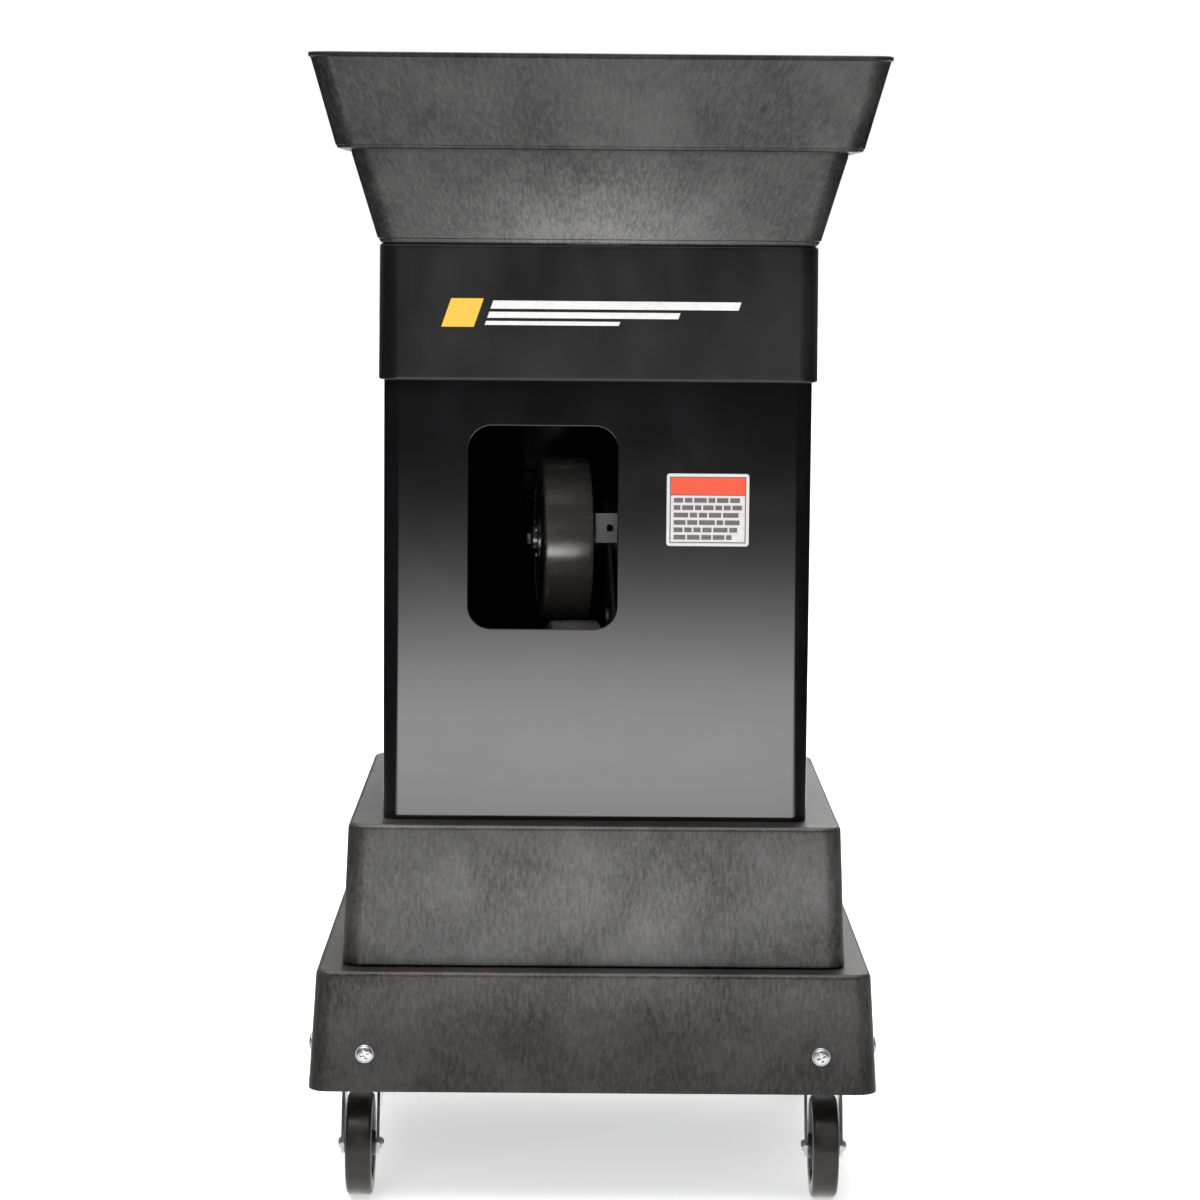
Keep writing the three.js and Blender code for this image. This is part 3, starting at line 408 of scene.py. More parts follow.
def add_camera():
    data = bpy.data.cameras.new("camera")
    data.sensor_width = 36
    data.lens = CAMERA["lens"]
    camera = add_object("camera", data)
    turn = Matrix.Rotation(CAMERA["turn"], 4, "Z")
    tip = Matrix.Rotation(QUARTER + CAMERA["tip"], 4, "X")
    roll = Matrix.Rotation(CAMERA["roll"], 4, "Z")
    camera.matrix_world = Matrix.Translation(CAMERA["place"]) @ turn @ tip @ roll
    bpy.context.scene.camera = camera


def add_area_light(name, place, target, size, power, glossy):
    data = bpy.data.lights.new(name, "AREA")
    data.shape = "RECTANGLE"
    data.size, data.size_y = size
    data.energy = power
    light = add_object(name, data)
    light.location = place
    light.rotation_euler = (Vector(target) - Vector(place)).to_track_quat("-Z", "Y").to_euler()
    light.visible_glossy = glossy


def add_world():
    """White where the camera looks; for reflections bright behind and above, dark in front."""
    world = bpy.data.worlds.new("studio")
    bpy.context.scene.world = world
    world.use_nodes = True
    made = Graph(world.node_tree)
    background = made.nodes["Background"]
    _, y, z = made.axes(made.node("ShaderNodeTexCoord").outputs["Generated"])
    behind = made.remap(y, *WORLD["behind"], "SMOOTHSTEP")
    above = made.remap(z, *WORLD["above"], "SMOOTHSTEP")
    level = made.plus(made.plus(behind, above), WORLD["least"])
    seen = made.node("ShaderNodeLightPath").outputs["Is Camera Ray"]
    strength = made.node("ShaderNodeMix", {"Factor": seen, 2: level, 3: 1.0}).outputs[0]
    made.links.new(strength, background.inputs["Strength"])
    background.inputs["Color"].default_value = (1, 1, 1, 1)


def floor_card(name, z, material):
    mesh = bpy.data.meshes.new(name)
    corners = [(x * FLOOR_HALF, y * FLOOR_HALF, z) for x, y in ((-1, -1), (1, -1), (1, 1), (-1, 1))]
    mesh.from_pydata(corners, [], [(0, 1, 2, 3)])
    mesh.materials.append(material)
    card = add_object(name, mesh)
    return card


def pool_material(front):
    """Light that fades from spots before and behind, as under lamps at the pool's height."""
    made = Finish("lit_floor", (0, 0, 0), 0.9)
    folded = made.vector("ABSOLUTE", {0: made.place})
    spot = (0, POOL["reach"] - front, 0)
    away = made.vector("DISTANCE", {0: folded, 1: spot}, "Value")
    tangent = made.math("DIVIDE", away, POOL["height"])
    fade = made.plus(made.math("POWER", tangent, 2.0), 1.0)
    strength = made.times(made.math("POWER", fade, -2.0), POOL["radiance"])
    x, y, _ = made.axes(made.place)
    aside = made.math("ABSOLUTE", made.math("SUBTRACT", x, POOL_SIDE["middle"]))
    strength = made.times(strength, made.fading(aside, POOL_SIDE))
    strength = made.times(strength, made.remap(y, -1.0, 1.0, 1.0, REAR_POOL))
    near = made.fading(made.vector("LENGTH", {0: made.place}, "Value"), NEAR_GLOW)
    near = made.times(near, NEAR_GLOW["radiance"])
    glow = made.node("ShaderNodeEmission", {"Strength": made.plus(strength, near)})
    made.links.new(glow.outputs["Emission"], made.nodes["Material Output"].inputs["Surface"])
    return made.material


def add_stage():
    low, _ = CAD_BOX
    floor = Finish("studio_floor", (0.86, 0.86, 0.86), 0.9)
    floor.shader.inputs["Emission Color"].default_value = (1, 1, 1, 1)
    close = floor.fading(floor.vector("LENGTH", {0: floor.place}, "Value"), FLOOR_GLOW)
    floor.feed("Emission Strength", floor.remap(close, 0.0, 1.0, FLOOR_GLOW["far"], FLOOR_GLOW["near"]))
    floor.tint(floor.remap(floor.noise(floor.place, 3.0), 0.3, 0.7), (0.88, 0.88, 0.88))
    floor_card("studio_floor", low.z, floor.material)
    pool = floor_card("lit_floor", low.z + POOL_LIFT, pool_material(low.y))
    pool.visible_camera = False
    pool.visible_diffuse = False
    pool.visible_shadow = False
    pool.visible_transmission = False
    for light in LIGHTS:
        add_area_light(*light)


# ---- mesh building

def skin(bm, loops, closed=False):
    """Joins neighbouring loops of points with quads; closed joins the last to the first."""
    rings = [[bm.verts.new(point) for point in loop] for loop in loops]
    pairs = list(zip(rings, rings[1:]))
    if closed:
        pairs.append((rings[-1], rings[0]))
    for low, high in pairs:
        for i, vertex in enumerate(low):
            j = (i + 1) % len(low)
            bm.faces.new((vertex, low[j], high[j], high[i]))


def lathe(bm, profile, place=Matrix(), sides=64):
    """A body of revolution about the place's own Z from (radius, height) points."""
    loops = []
    for radius, height in profile:
        turns = [2 * math.pi * i / sides for i in range(sides)]
        loops.append([
            place @ Vector((radius * math.cos(a), radius * math.sin(a), height)) for a in turns
        ])
    skin(bm, loops, closed=profile[0][0] > 0 and profile[-1][0] > 0)


def turned(profile, place=Matrix(), sides=64):
    bm = bmesh.new()
    lathe(bm, profile, place, sides)
    return bm


def mirrored(profile):
    """The profile followed by its own reflection in z 0."""
    return profile + [(radius, -z) for radius, z in profile[::-1]]


def prism(bm, outline, low, high, place=Matrix()):
    """A straight solid on an (x, y) outline between two heights along the place's Z."""
    rings = [
        [bm.verts.new(place @ Vector((x, y, z))) for x, y in outline] for z in (low, high)
    ]
    bm.faces.new(rings[0][::-1])
    bm.faces.new(rings[1])
    for i, vertex in enumerate(rings[0]):
        j = (i + 1) % len(outline)
        bm.faces.new((vertex, rings[0][j], rings[1][j], rings[1][i]))


def block(bm, low, high, place=Matrix()):
    outline = [(low[0], low[1]), (high[0], low[1]), (high[0], high[1]), (low[0], high[1])]
    prism(bm, outline, low[2], high[2], place)


def round_corner(centre, radius, start, steps=CORNER_STEPS):
    """Points of a quarter turn, anticlockwise from the start angle."""
    turns = [start + QUARTER * i / steps for i in range(steps + 1)]
    return [(centre[0] + radius * math.cos(a), centre[1] + radius * math.sin(a)) for a in turns]


def round_rectangle(left, right, bottom, top, corner, steps=CORNER_STEPS):
    middles = [(right - corner, top - corner), (left + corner, top - corner)]
    middles += [(left + corner, bottom + corner), (right - corner, bottom + corner)]
    points = []
    for i, middle in enumerate(middles):
        points += round_corner(middle, corner, i * QUARTER, steps)
    return points


def hexagon(across):
    reach = across / math.sqrt(3)
    turns = [math.pi / 3 * i for i in range(6)]
    return [(reach * math.cos(a), reach * math.sin(a)) for a in turns]


def facing(direction, at):
    """A frame at a point whose Z looks along the direction."""
    turn = Vector(direction).to_track_quat("Z", "Y").to_matrix().to_4x4()
    return Matrix.Translation(at) @ turn


def joint_frame(name):
    joint = JOINTS[name]
    return facing(joint["axis"], joint["pos_m"])


def soften(bm, width, segments=2, limit=32):
    """Rounds every edge that is sharper than the limit in degrees."""
    bmesh.ops.remove_doubles(bm, verts=bm.verts, dist=MERGE)
    angle = math.radians(limit)
    bmesh.ops.dissolve_limit(bm, angle_limit=FLAT_BEND, verts=bm.verts, edges=bm.edges)
    edges = [e for e in bm.edges if len(e.link_faces) == 2 and e.calc_face_angle(0) > angle]
    bmesh.ops.bevel(
        bm, geom=edges, offset=width, offset_type="OFFSET", segments=segments, profile=0.5,
        affect="EDGES", clamp_overlap=True,
    )


def scratch_object(bm):
    mesh = bpy.data.meshes.new("scratch")
    bmesh.ops.recalc_face_normals(bm, faces=bm.faces)
    bm.to_mesh(mesh)
    bm.free()
    return add_object("scratch", mesh)


def evaluated(made):
    """The object's mesh with its modifiers applied; the object is removed."""
    graph = bpy.context.evaluated_depsgraph_get()
    graph.update()
    result = bmesh.new()
    result.from_object(made, graph)
    bpy.data.objects.remove(made)
    return result


def carved(bm, *tools):
    """bm with the closed shapes in tools taken away."""
    made = scratch_object(bm)
    cutters = [scratch_object(tool) for tool in tools]
    for cutter in cutters:
        change = made.modifiers.new("cut", "BOOLEAN")
        change.operation = "DIFFERENCE"
        change.solver = "EXACT"
        change.object = cutter
    result = evaluated(made)
    for cutter in cutters:
        bpy.data.objects.remove(cutter)
    return result


def stamped(bm, stamp, places):
    """Adds a copy of the stamp at each place."""
    mesh = bpy.data.meshes.new("stamp")
    stamp.to_mesh(mesh)
    stamp.free()
    for place in places:
        first = len(bm.verts)
        bm.from_mesh(mesh)
        bm.verts.ensure_lookup_table()
        bmesh.ops.transform(bm, matrix=place, verts=bm.verts[first:])


def piece(bm, name, material, body, replaces=(), sharp=35):
    """Turns a bmesh into a smooth-shaded piece that rides on a CAD body."""
    bmesh.ops.remove_doubles(bm, verts=bm.verts, dist=MERGE)
    bmesh.ops.recalc_face_normals(bm, faces=bm.faces)
    limit = math.radians(sharp)
    for face in bm.faces:
        face.smooth = True
        face.material_index = 0
    for edge in bm.edges:
        edge.smooth = edge.calc_face_angle(0) < limit
    mesh = bpy.data.meshes.new(name)
    bm.to_mesh(mesh)
    bm.free()
    mesh.materials.append(material)
    made = add_object(name, mesh)
    shading = made.modifiers.new("flat_faces", "WEIGHTED_NORMAL")
    shading.keep_sharp = True
    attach(made, body)
    if replaces:
        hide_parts(*replaces)
    return made


def refined(node, material, edge=0.0006, rounds=0):
    """A CAD node's own shape with softened edges, or with its round faces made finer."""
    bm = bmesh.new()
    bm.from_mesh(NODES[node].data)
    bmesh.ops.remove_doubles(bm, verts=bm.verts, dist=1e-5)
    bmesh.ops.dissolve_limit(bm, angle_limit=FLAT_BEND, verts=bm.verts, edges=bm.edges)
    if rounds:
        crease = bm.edges.layers.float.new("crease_edge")
        for line in bm.edges:
            line[crease] = 1.0 if line.calc_face_angle(0) > math.radians(50) else 0.0
        finer = scratch_object(bm)
        change = finer.modifiers.new("finer", "SUBSURF")
        change.levels = change.render_levels = rounds
        bm = evaluated(finer)
    elif edge:
        soften(bm, edge)
    piece(bm, f"{node}_finished", material, NODES[node]["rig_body"], (node,))


# ---- moulded tiers

def tier_shape(node):
    """Bottom and top of a square tier, and its half-width as a function of height."""
    low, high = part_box(node)
    places = [vertex.co for vertex in NODES[node].data.vertices]
    foot, head = (
        max(abs(place.x) for place in places if abs(place.z - z) < 1e-4) for z in (low.z, high.z)
    )

    def outer(z):
        return foot + (head - foot) * (z - low.z) / (high.z - low.z)

    return low.z, high.z, outer


def square_loop(half, corner, z):
    """Points round a square with rounded corners, anticlockwise seen from above."""
    reach = half - corner
    points = []
    for quarter in range(4):
        turn = Matrix.Rotation(quarter * QUARTER, 3, "Z")
        for x, y in round_corner((reach, reach), corner, 0.0):
            points.append(turn @ Vector((x, y, z)))
        for i in range(1, SIDE_STEPS):
            points.append(turn @ Vector((reach - 2 * reach * i / SIDE_STEPS, half, z)))
    return points


def ring(bm, profile, corner, outer):
    """Sweeps (half-width, height, corner) points round the square and closes the section."""
    loops = []
    for half, z, own in profile:
        radius = own if own is not None else max(corner - (outer(z) - half), 0.002)
        loops.append(square_loop(half, min(radius, half - 1e-5), z))
    skin(bm, loops, closed=True)


def fillet(centre, radius, start, steps=5):
    return [(half, z, None) for half, z in round_corner(centre, radius, start, steps)]


def wall(low, high, half, rows=10):
    heights = [low + (high - low) * i / rows for i in range(rows + 1)]
    return [(half(z), z, None) for z in heights]


def wavy(bm, outer, seed):
    """Lets the outside of a moulded wall stray a little from flat."""
    shift = Vector((seed, 0, 0))
    for vertex in bm.verts:
        x, y, z = vertex.co
        reach = max(abs(x), abs(y))
        if outer(z) - reach < WALL / 2:
            swell = 1 + WAVE * noise.noise(vertex.co * 9 + shift) / reach
            vertex.co = Vector((x * swell, y * swell, z))


def hood(node, name, opening, edge, material, seed):
    """A tier open below, with a rounded shoulder and a ledge round a square hole."""
    z0, z1, outer = tier_shape(node)
    half1 = outer(z1)

    def inner(z):
        return outer(z) - WALL

    lip = 0.0012
    profile = fillet((outer(z0) - lip, z0 + lip), lip, -QUARTER, 3)
    profile += wall(z0 + 2 * lip, z1 - edge, outer)
    profile += fillet((half1 - edge, z1 - edge), edge, 0.0)[1:]
    profile += [(opening, z1, TIER_CORNER / 4), (opening, z1 - WALL, TIER_CORNER / 4)]
    profile += wall(z1 - WALL, z0, inner, 4)
    bm = bmesh.new()
    ring(bm, profile, TIER_CORNER, outer)
    wavy(bm, outer, seed)
    piece(bm, name, material, "machine", (node,))


def bin_tier(node, name, mouth, mouth_corner, edge, bead, material, seed):
    """A tier open above, with a rounded foot, a floor round a mouth, and a rim bead."""
    z0, z1, outer = tier_shape(node)
    half0, half1 = outer(z0), outer(z1)

    def inner(z):
        return outer(z) - WALL

    bead_low = z1 - 0.005
    profile = fillet((half0 - edge, z0 + edge), edge, -QUARTER)
    profile += wall(z0 + 1.2 * edge, bead_low, outer)
    if bead:
        profile += [(outer(z1) + bead, bead_low + 0.0012, None)]
        profile += [(outer(z1) + bead, z1 - 0.0008, None)]
    profile += [(half1 + bead - 0.0008, z1, None), (half1 - WALL + 0.0008, z1, None)]
    profile += wall(z1 - 0.0008, z0 + 2 * WALL, inner, 6)
    profile += [(inner(z0) - 0.0015, z0 + WALL + 0.0015, None)]
    profile += [(inner(z0) - WALL, z0 + WALL, None)]
    profile += [(mouth, z0 + WALL, mouth_corner), (mouth, z0, mouth_corner)]
    bm = bmesh.new()
    ring(bm, profile, TIER_CORNER, outer)
    wavy(bm, outer, seed)
    piece(bm, name, material, "hopper", (node,))


def collar(material):
    node = "collar"
    z0, z1, outer = tier_shape(node)
    half0, half1 = outer(z0), outer(z1)
    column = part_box("front_cover")[1].x + FIT
    edge, lip, seal = 0.0025, 0.0015, 0.00035
    profile = fillet((half0 - edge, z0 + edge), edge, -QUARTER)
    profile += wall(z0 + 2 * edge, z1 - 2 * edge, outer)
    profile += fillet((half1 - edge, z1 - edge), edge, 0.0)
    profile += [(column + lip, z1, None), (column + lip, z1 + seal, None)]
    profile += [(column, z1 + seal, COLUMN_CORNER), (column, z0, COLUMN_CORNER)]
    bm = bmesh.new()
    ring(bm, profile, TIER_CORNER, outer)
    piece(bm, "feeder_collar", material, "machine", (node,))


def collar_stripes(white, yellow):
    """Plain slanted bars on the front of the collar."""
    low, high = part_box("collar")
    place = facing((0, -1, 0), (0, low.y + FIT, (low.z + high.z) / 2))
    bars = [
        ("collar_stripe_yellow", yellow, -0.150, -0.118, -0.014, 0.014),
        ("collar_stripe_long", white, -0.108, 0.136, 0.004, 0.012),
        ("collar_stripe_middle", white, -0.108, 0.080, -0.005, 0.001),
        ("collar_stripe_short", white, -0.108, 0.024, -0.012, -0.008),
    ]
    for name, material, left, right, bottom, top in bars:
        outline = [(left + STRIPE_LEAN * bottom, bottom), (right + STRIPE_LEAN * bottom, bottom)]
        outline += [(right + STRIPE_LEAN * top, top), (left + STRIPE_LEAN * top, top)]
        bm = bmesh.new()
        prism(bm, outline, -0.001, FIT, upright(place))
        soften(bm, 0.0001, 1)
        piece(bm, name, material, "machine")


def upright(place):
    """The same point and Z as the place, with Y turned to point up and X to the right."""
    forward = place.to_3x3() @ Vector((0, 0, 1))
    across = Vector((0, 0, 1)).cross(forward).normalized()
    above = forward.cross(across)
    turn = Matrix((across, above, forward)).transposed().to_4x4()
    return Matrix.Translation(place.translation) @ turn


# ---- column

def sheet_outline(half, front, back, corner):
    """A folded U seen from above, from its front to its open back."""
    arc_left = round_corner((-half + corner, front + corner), corner, math.pi)
    arc_right = round_corner((half - corner, front + corner), corner, 1.5 * math.pi)
    inside = corner - SHEET
    in_right = round_corner((half - corner, front + corner), inside, 1.5 * math.pi)[::-1]
    in_left = round_corner((-half + corner, front + corner), inside, math.pi)[::-1]
    outline = [(-half, back), *arc_left, *arc_right, (half, back), (half - SHEET, back)]
    return outline + [*in_right, *in_left, (-half + SHEET, back)]


def wall_hole(hole, y0, y1):
    """A rounded hole's cutter through an upright wall."""
    tool = bmesh.new()
    outline = round_rectangle(
        hole["left"], hole["right"], hole["bottom"], hole["top"], hole["corner"], 10,
    )
    turn = Matrix.Rotation(QUARTER, 4, "X")
    prism(tool, outline, -y1, -y0, turn)
    return tool


def column_covers(material):
    low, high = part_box("front_cover")
    bm = bmesh.new()
    prism(bm, sheet_outline(high.x, low.y, high.y, COLUMN_CORNER), low.z, high.z)
    bm = carved(bm, wall_hole(WINDOW, low.y - 0.01, low.y + 0.01))
    soften(bm, 0.0009, 3)
    piece(bm, "front_column_cover", material, "machine", ("front_cover",))

    low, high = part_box("rear_cover")
    outline = [(x, -y) for x, y in sheet_outline(high.x, -high.y, -low.y, COLUMN_CORNER)]
    bm = bmesh.new()
    prism(bm, outline[::-1], low.z, high.z)
    bm = carved(bm, wall_hole(PANEL_HOLE, high.y - 0.01, high.y + 0.01))
    soften(bm, 0.0007, 2)
    piece(bm, "rear_column_cover", material, "machine", ("rear_cover",))


def caution_plate(white, red, ink):
    """A plain plate: a ruled border, a coloured band and rows of grey bars, with no words."""
    low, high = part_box("caution_label")
    face = low.y
    turn = Matrix.Rotation(QUARTER, 4, "X")

    def plate(name, shapes, material, depth, proud, replaces=()):
        bm = bmesh.new()
        for outline in shapes:
            prism(bm, outline, -face - depth, -face + proud, turn)
        piece(bm, name, material, "machine", replaces, 20)

    whole = round_rectangle(low.x, high.x, low.z, high.z, 0.003, 6)
    plate("caution_plate", [whole], white, 0.0008, 0.0, ("caution_label",))

    inset, line, band = CAUTION["inset"], CAUTION["line"], CAUTION["band"]
    left, right, bottom, top = low.x + inset, high.x - inset, low.z + inset, high.z - inset
    sides = [(left, right, bottom, bottom + line), (left, right, top - line, top)]
    sides += [(left, left + line, bottom + line, top - line)]
    sides += [(right - line, right, bottom + line, top - line)]
    rules = [[(a, c), (b, c), (b, d), (a, d)] for a, b, c, d in sides]

    header = [(left + line, top - line - band), (right - line, top - line - band)]
    header += [(right - line, top - line), (left + line, top - line)]
    rule = top - line - band
    rules.append([(left, rule - line), (right, rule - line), (right, rule), (left, rule)])
    plate("caution_plate_band", [header], red, PRINT["sunk"], PRINT["proud"])

    dice = random.Random(CAUTION["seed"])
    rows = CAUTION["rows"]
    pitch = (rule - line - bottom - line - 0.002) / rows
    for row in range(rows):
        middle = rule - line - 0.001 - pitch * (row + 0.5)
        x = left + 0.004
        end = right - 0.004 - (0.010 if row == rows - 1 else 0.0)
        while x < end - 0.004:
            stop = min(x + dice.uniform(0.006, 0.016), end)
            tall = pitch * 0.32
            rules.append([
                (x, middle - tall), (stop, middle - tall), (stop, middle + tall), (x, middle + tall),
            ])
            x = stop + 0.0017
    plate("caution_plate_rules", rules, ink, PRINT["sunk"], PRINT["proud"])


# ---- screws and bolts

def pan_screw(radius):
    """A pan-head screw with a cross recess on a washer, standing on z 0."""
    tall = 0.42 * radius
    seat = 0.0009  # the washer's top
    rim = 1.10 * radius
    profile = [(0, -0.003), (rim, -0.003), (rim, 0.0006), (0.96 * rim, seat)]
    profile += [(radius, seat), (radius, seat + 0.35 * tall)]
    profile += [(0.93 * radius, seat + 0.62 * tall), (0.75 * radius, seat + 0.85 * tall)]
    profile += [(0.45 * radius, seat + 0.97 * tall), (0, seat + tall)]
    head = turned(profile, sides=40)
    tools = []
    for turn in (0.0, QUARTER):
        tool = bmesh.new()
        long, wide = 0.60 * radius, 0.15 * radius
        block(tool, (-long, -wide, seat), (long, wide, seat + 2 * tall),
              Matrix.Rotation(turn + 0.4, 4, "Z"))
        tools.append(tool)
    return carved(head, *tools)


def base_screws(material):
    """Two screws through each side of the lower base tier into the steel pan."""
    half = tier_shape("base_lower_shell")[2](SCREW_HEIGHT)
    places = []
    for quarter in range(4):
        turn = Matrix.Rotation(quarter * QUARTER, 4, "Z")
        for side in (-1, 1):
            at = facing((0, -1, 0.06), (side * SCREW_REACH, -half, SCREW_HEIGHT))
            places.append(turn @ at)
    bm = bmesh.new()
    stamped(bm, pan_screw(0.0082), places)
    piece(bm, "base_screws", material, "machine")


def hex_head(bm, place, across, tall, washer=0.0):
    """A hexagon head or nut with a turned top chamfer, and a washer below it."""
    if washer:
        lathe(bm, [(0, 0), (washer, 0), (washer, 0.001), (0, 0.001)], place, 32)
    prism(bm, hexagon(across), 0.001, tall, place)
    dome = across * 0.47
    lathe(bm, [(0, tall - 0.0001), (dome, tall - 0.0001), (0.85 * dome, tall + 0.0006),
               (0, tall + 0.0006)], place, 32)


# ---- casters

def fork_reach(corner, centre):
    """How far the fork's legs stand out sideways from the wheel's centre at the axle."""
    places = [vertex.co for vertex in NODES[f"caster_fork_{corner}"].data.vertices]
    near = [place for place in places if abs(place.z - centre.z) < 0.012]
    return max(abs(place.x - centre.x) for place in near)


def caster(corner, zinc, tread, core):
    low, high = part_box(f"caster_wheel_{corner}")
    centre = (low + high) / 2
    radius = (high.z - low.z) / 2
    half = (high.x - low.x) / 2 - 0.002
    axis = facing((1, 0, 0), centre)

    tyre = [(radius - 0.013, -half + 0.0004), (radius - 0.004, -half)]
    tyre += round_corner((radius - 0.004, -half + 0.004), 0.004, -QUARTER, 6)
    tyre += [(radius, 0.0)]
    tyre += round_corner((radius - 0.004, half - 0.004), 0.004, 0.0, 6)
    tyre += [(radius - 0.004, half), (radius - 0.013, half - 0.0004)]
    bm = turned(tyre, axis, 96)
    piece(bm, f"caster_tyre_{corner}", tread, f"caster_roller_{corner}",
          (f"caster_wheel_{corner}",))

    rim = radius - 0.0131
    dish = [(0.0043, -half - 0.0018), (0.0115, -half - 0.0018), (0.0125, -half - 0.0008)]
    dish += [(0.0135, -half + 0.006), (rim - 0.004, -half + 0.006), (rim - 0.002, -half + 0.0012)]
    dish += [(rim, -half + 0.0006)]
    bm = turned(mirrored(dish), axis)
    for i in range(6):
        spoke = axis @ Matrix.Rotation(i * math.pi / 3, 4, "Z")
        block(bm, (0.012, -0.0014, -half + 0.002), (rim - 0.002, 0.0014, half - 0.002), spoke)
    piece(bm, f"caster_core_{corner}", core, f"caster_roller_{corner}")

    leg = fork_reach(corner, centre)
    bm = bmesh.new()
    bolt = facing((-1, 0, 0), centre - Vector((leg, 0, 0)))
    nut = facing((1, 0, 0), centre + Vector((leg, 0, 0)))
    hex_head(bm, bolt, 0.0095, 0.0026, 0.0062)
    hex_head(bm, nut, 0.0095, 0.0028, 0.0062)
    start, end = -2 * leg, 0.0042  # the shank's
    lathe(bm, [(0, start), (0.004, start), (0.004, end - 0.0008), (0.0032, end), (0, end)], nut, 32)
    soften(bm, 0.0002, 1)
    piece(bm, f"caster_bolt_{corner}", zinc, f"caster_swivel_{corner}",
          (f"caster_axle_{corner}",))

    refined(f"caster_fork_{corner}", zinc, 0.0009)
    refined(f"caster_plate_{corner}", zinc, 0.0008)
    low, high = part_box(f"caster_plate_{corner}")
    bm = bmesh.new()
    plate_face = high.z - 0.003
    for x in (low.x + 0.008, high.x - 0.008):
        for y in (low.y + 0.009, high.y - 0.009):
            hex_head(bm, facing((0, 0, -1), (x, y, plate_face)), 0.010, 0.0045, 0.0068)
    piece(bm, f"caster_plate_bolts_{corner}", zinc, "machine")


# ---- throwing head

def throwing_wheel(side, tread, core, metal):
    place = joint_frame(f"{side}_wheel_spin")
    radius, half = THROWER["radius"], THROWER["half"]
    body = f"{side}_spinner"

    band = [(radius - 0.014, -half), (radius - 0.0035, -half), (radius - 0.001, -half + 0.0016)]
    band += [(radius, -half + 0.005), (radius + 0.0004, 0.0), (radius, half - 0.005)]
    band += [(radius - 0.001, half - 0.0016), (radius - 0.0035, half), (radius - 0.014, half)]
    bm = turned(band, place, 160)
    piece(bm, f"{side}_wheel_tread", tread, body, (f"{side}_wheel",))

    rim = radius - 0.0142
    dish = [(0.0143, -half + 0.0005), (0.030, -half + 0.0005), (0.033, -half + 0.003)]
    dish += [(0.035, -half + 0.013), (rim - 0.006, -half + 0.013), (rim - 0.003, -half + 0.002)]
    dish += [(rim, -half + 0.0008)]
    bm = turned(mirrored(dish), place, 128)
    for i in range(THROWER["spokes"]):
        spoke = place @ Matrix.Rotation(2 * math.pi * i / THROWER["spokes"], 4, "Z")
        block(bm, (0.031, -0.002, -half + 0.005), (rim - 0.003, 0.002, half - 0.005), spoke)
    piece(bm, f"{side}_wheel_core", core, body)

    hub = [(0, -half - 0.0085), (0.0125, -half - 0.0085), (0.014, -half - 0.007)]
    hub += [(0.014, -half - 0.0032), (0.024, -half - 0.0032), (0.025, -half - 0.0022)]
    hub += [(0.025, -half + 0.0002), (0.014, -half + 0.0002), (0.014, half + 0.004)]
    hub += [(0.010, half + 0.004), (0.010, half + 0.0192), (0, half + 0.0192)]
    bm = turned(hub, place, 96)
    outside = place @ Matrix.Rotation(math.pi, 4, "X")
    nut = outside @ Matrix.Translation((0, 0, half + 0.0080))
    hex_head(bm, nut, 0.011, 0.0045)
    for i in range(4):
        turn = Matrix.Rotation(i * QUARTER + 0.6, 4, "Z")
        screw = outside @ turn @ Matrix.Translation((0.0195, 0, half + 0.0030))
        lathe(bm, [(0, 0), (0.0026, 0), (0.0026, 0.0018), (0.002, 0.0023), (0, 0.0023)],
              screw, 24)
    piece(bm, f"{side}_wheel_hub", metal, body, (f"{side}_hub",))


def wheel_motor(side, can, metal):
    """A round motor with end bells, cooling ribs and tie bolts."""
    place = joint_frame(f"{side}_wheel_spin") @ Matrix.Translation((0, 0, THROWER["motor_offset"]))
    radius, length = MOTOR["radius"], MOTOR["length"]
    profile = [(0, 0), (radius, 0), (radius, 0.012), (radius - 0.0015, 0.0135)]
    z = 0.0165
    while z < length - 0.022:
        profile += [(radius - 0.0015, z), (radius - 0.0003, z + 0.0006)]
        profile += [(radius - 0.0003, z + 0.0024), (radius - 0.0015, z + 0.003)]
        z += MOTOR["rib"]
    profile += [(radius - 0.0015, length - 0.0165), (radius, length - 0.015)]
    profile += [(radius, length - 0.004), (radius - 0.004, length), (0.014, length)]
    profile += [(0.014, length + 0.009), (0.013, length + 0.010), (0, length + 0.010)]
    bm = turned(profile, place, 96)
    piece(bm, f"{side}_motor_can", can, "head", (f"{side}_motor",))
    bm = bmesh.new()
    for i in range(4):
        turn = Matrix.Rotation(i * QUARTER + math.pi / 4, 4, "Z")
        tie = place @ turn @ Matrix.Translation((radius - 0.007, 0, length - 0.0012))
        hex_head(bm, tie, 0.007, 0.0042, 0.005)
    piece(bm, f"{side}_motor_bolts", metal, "head")


# ---- feeder

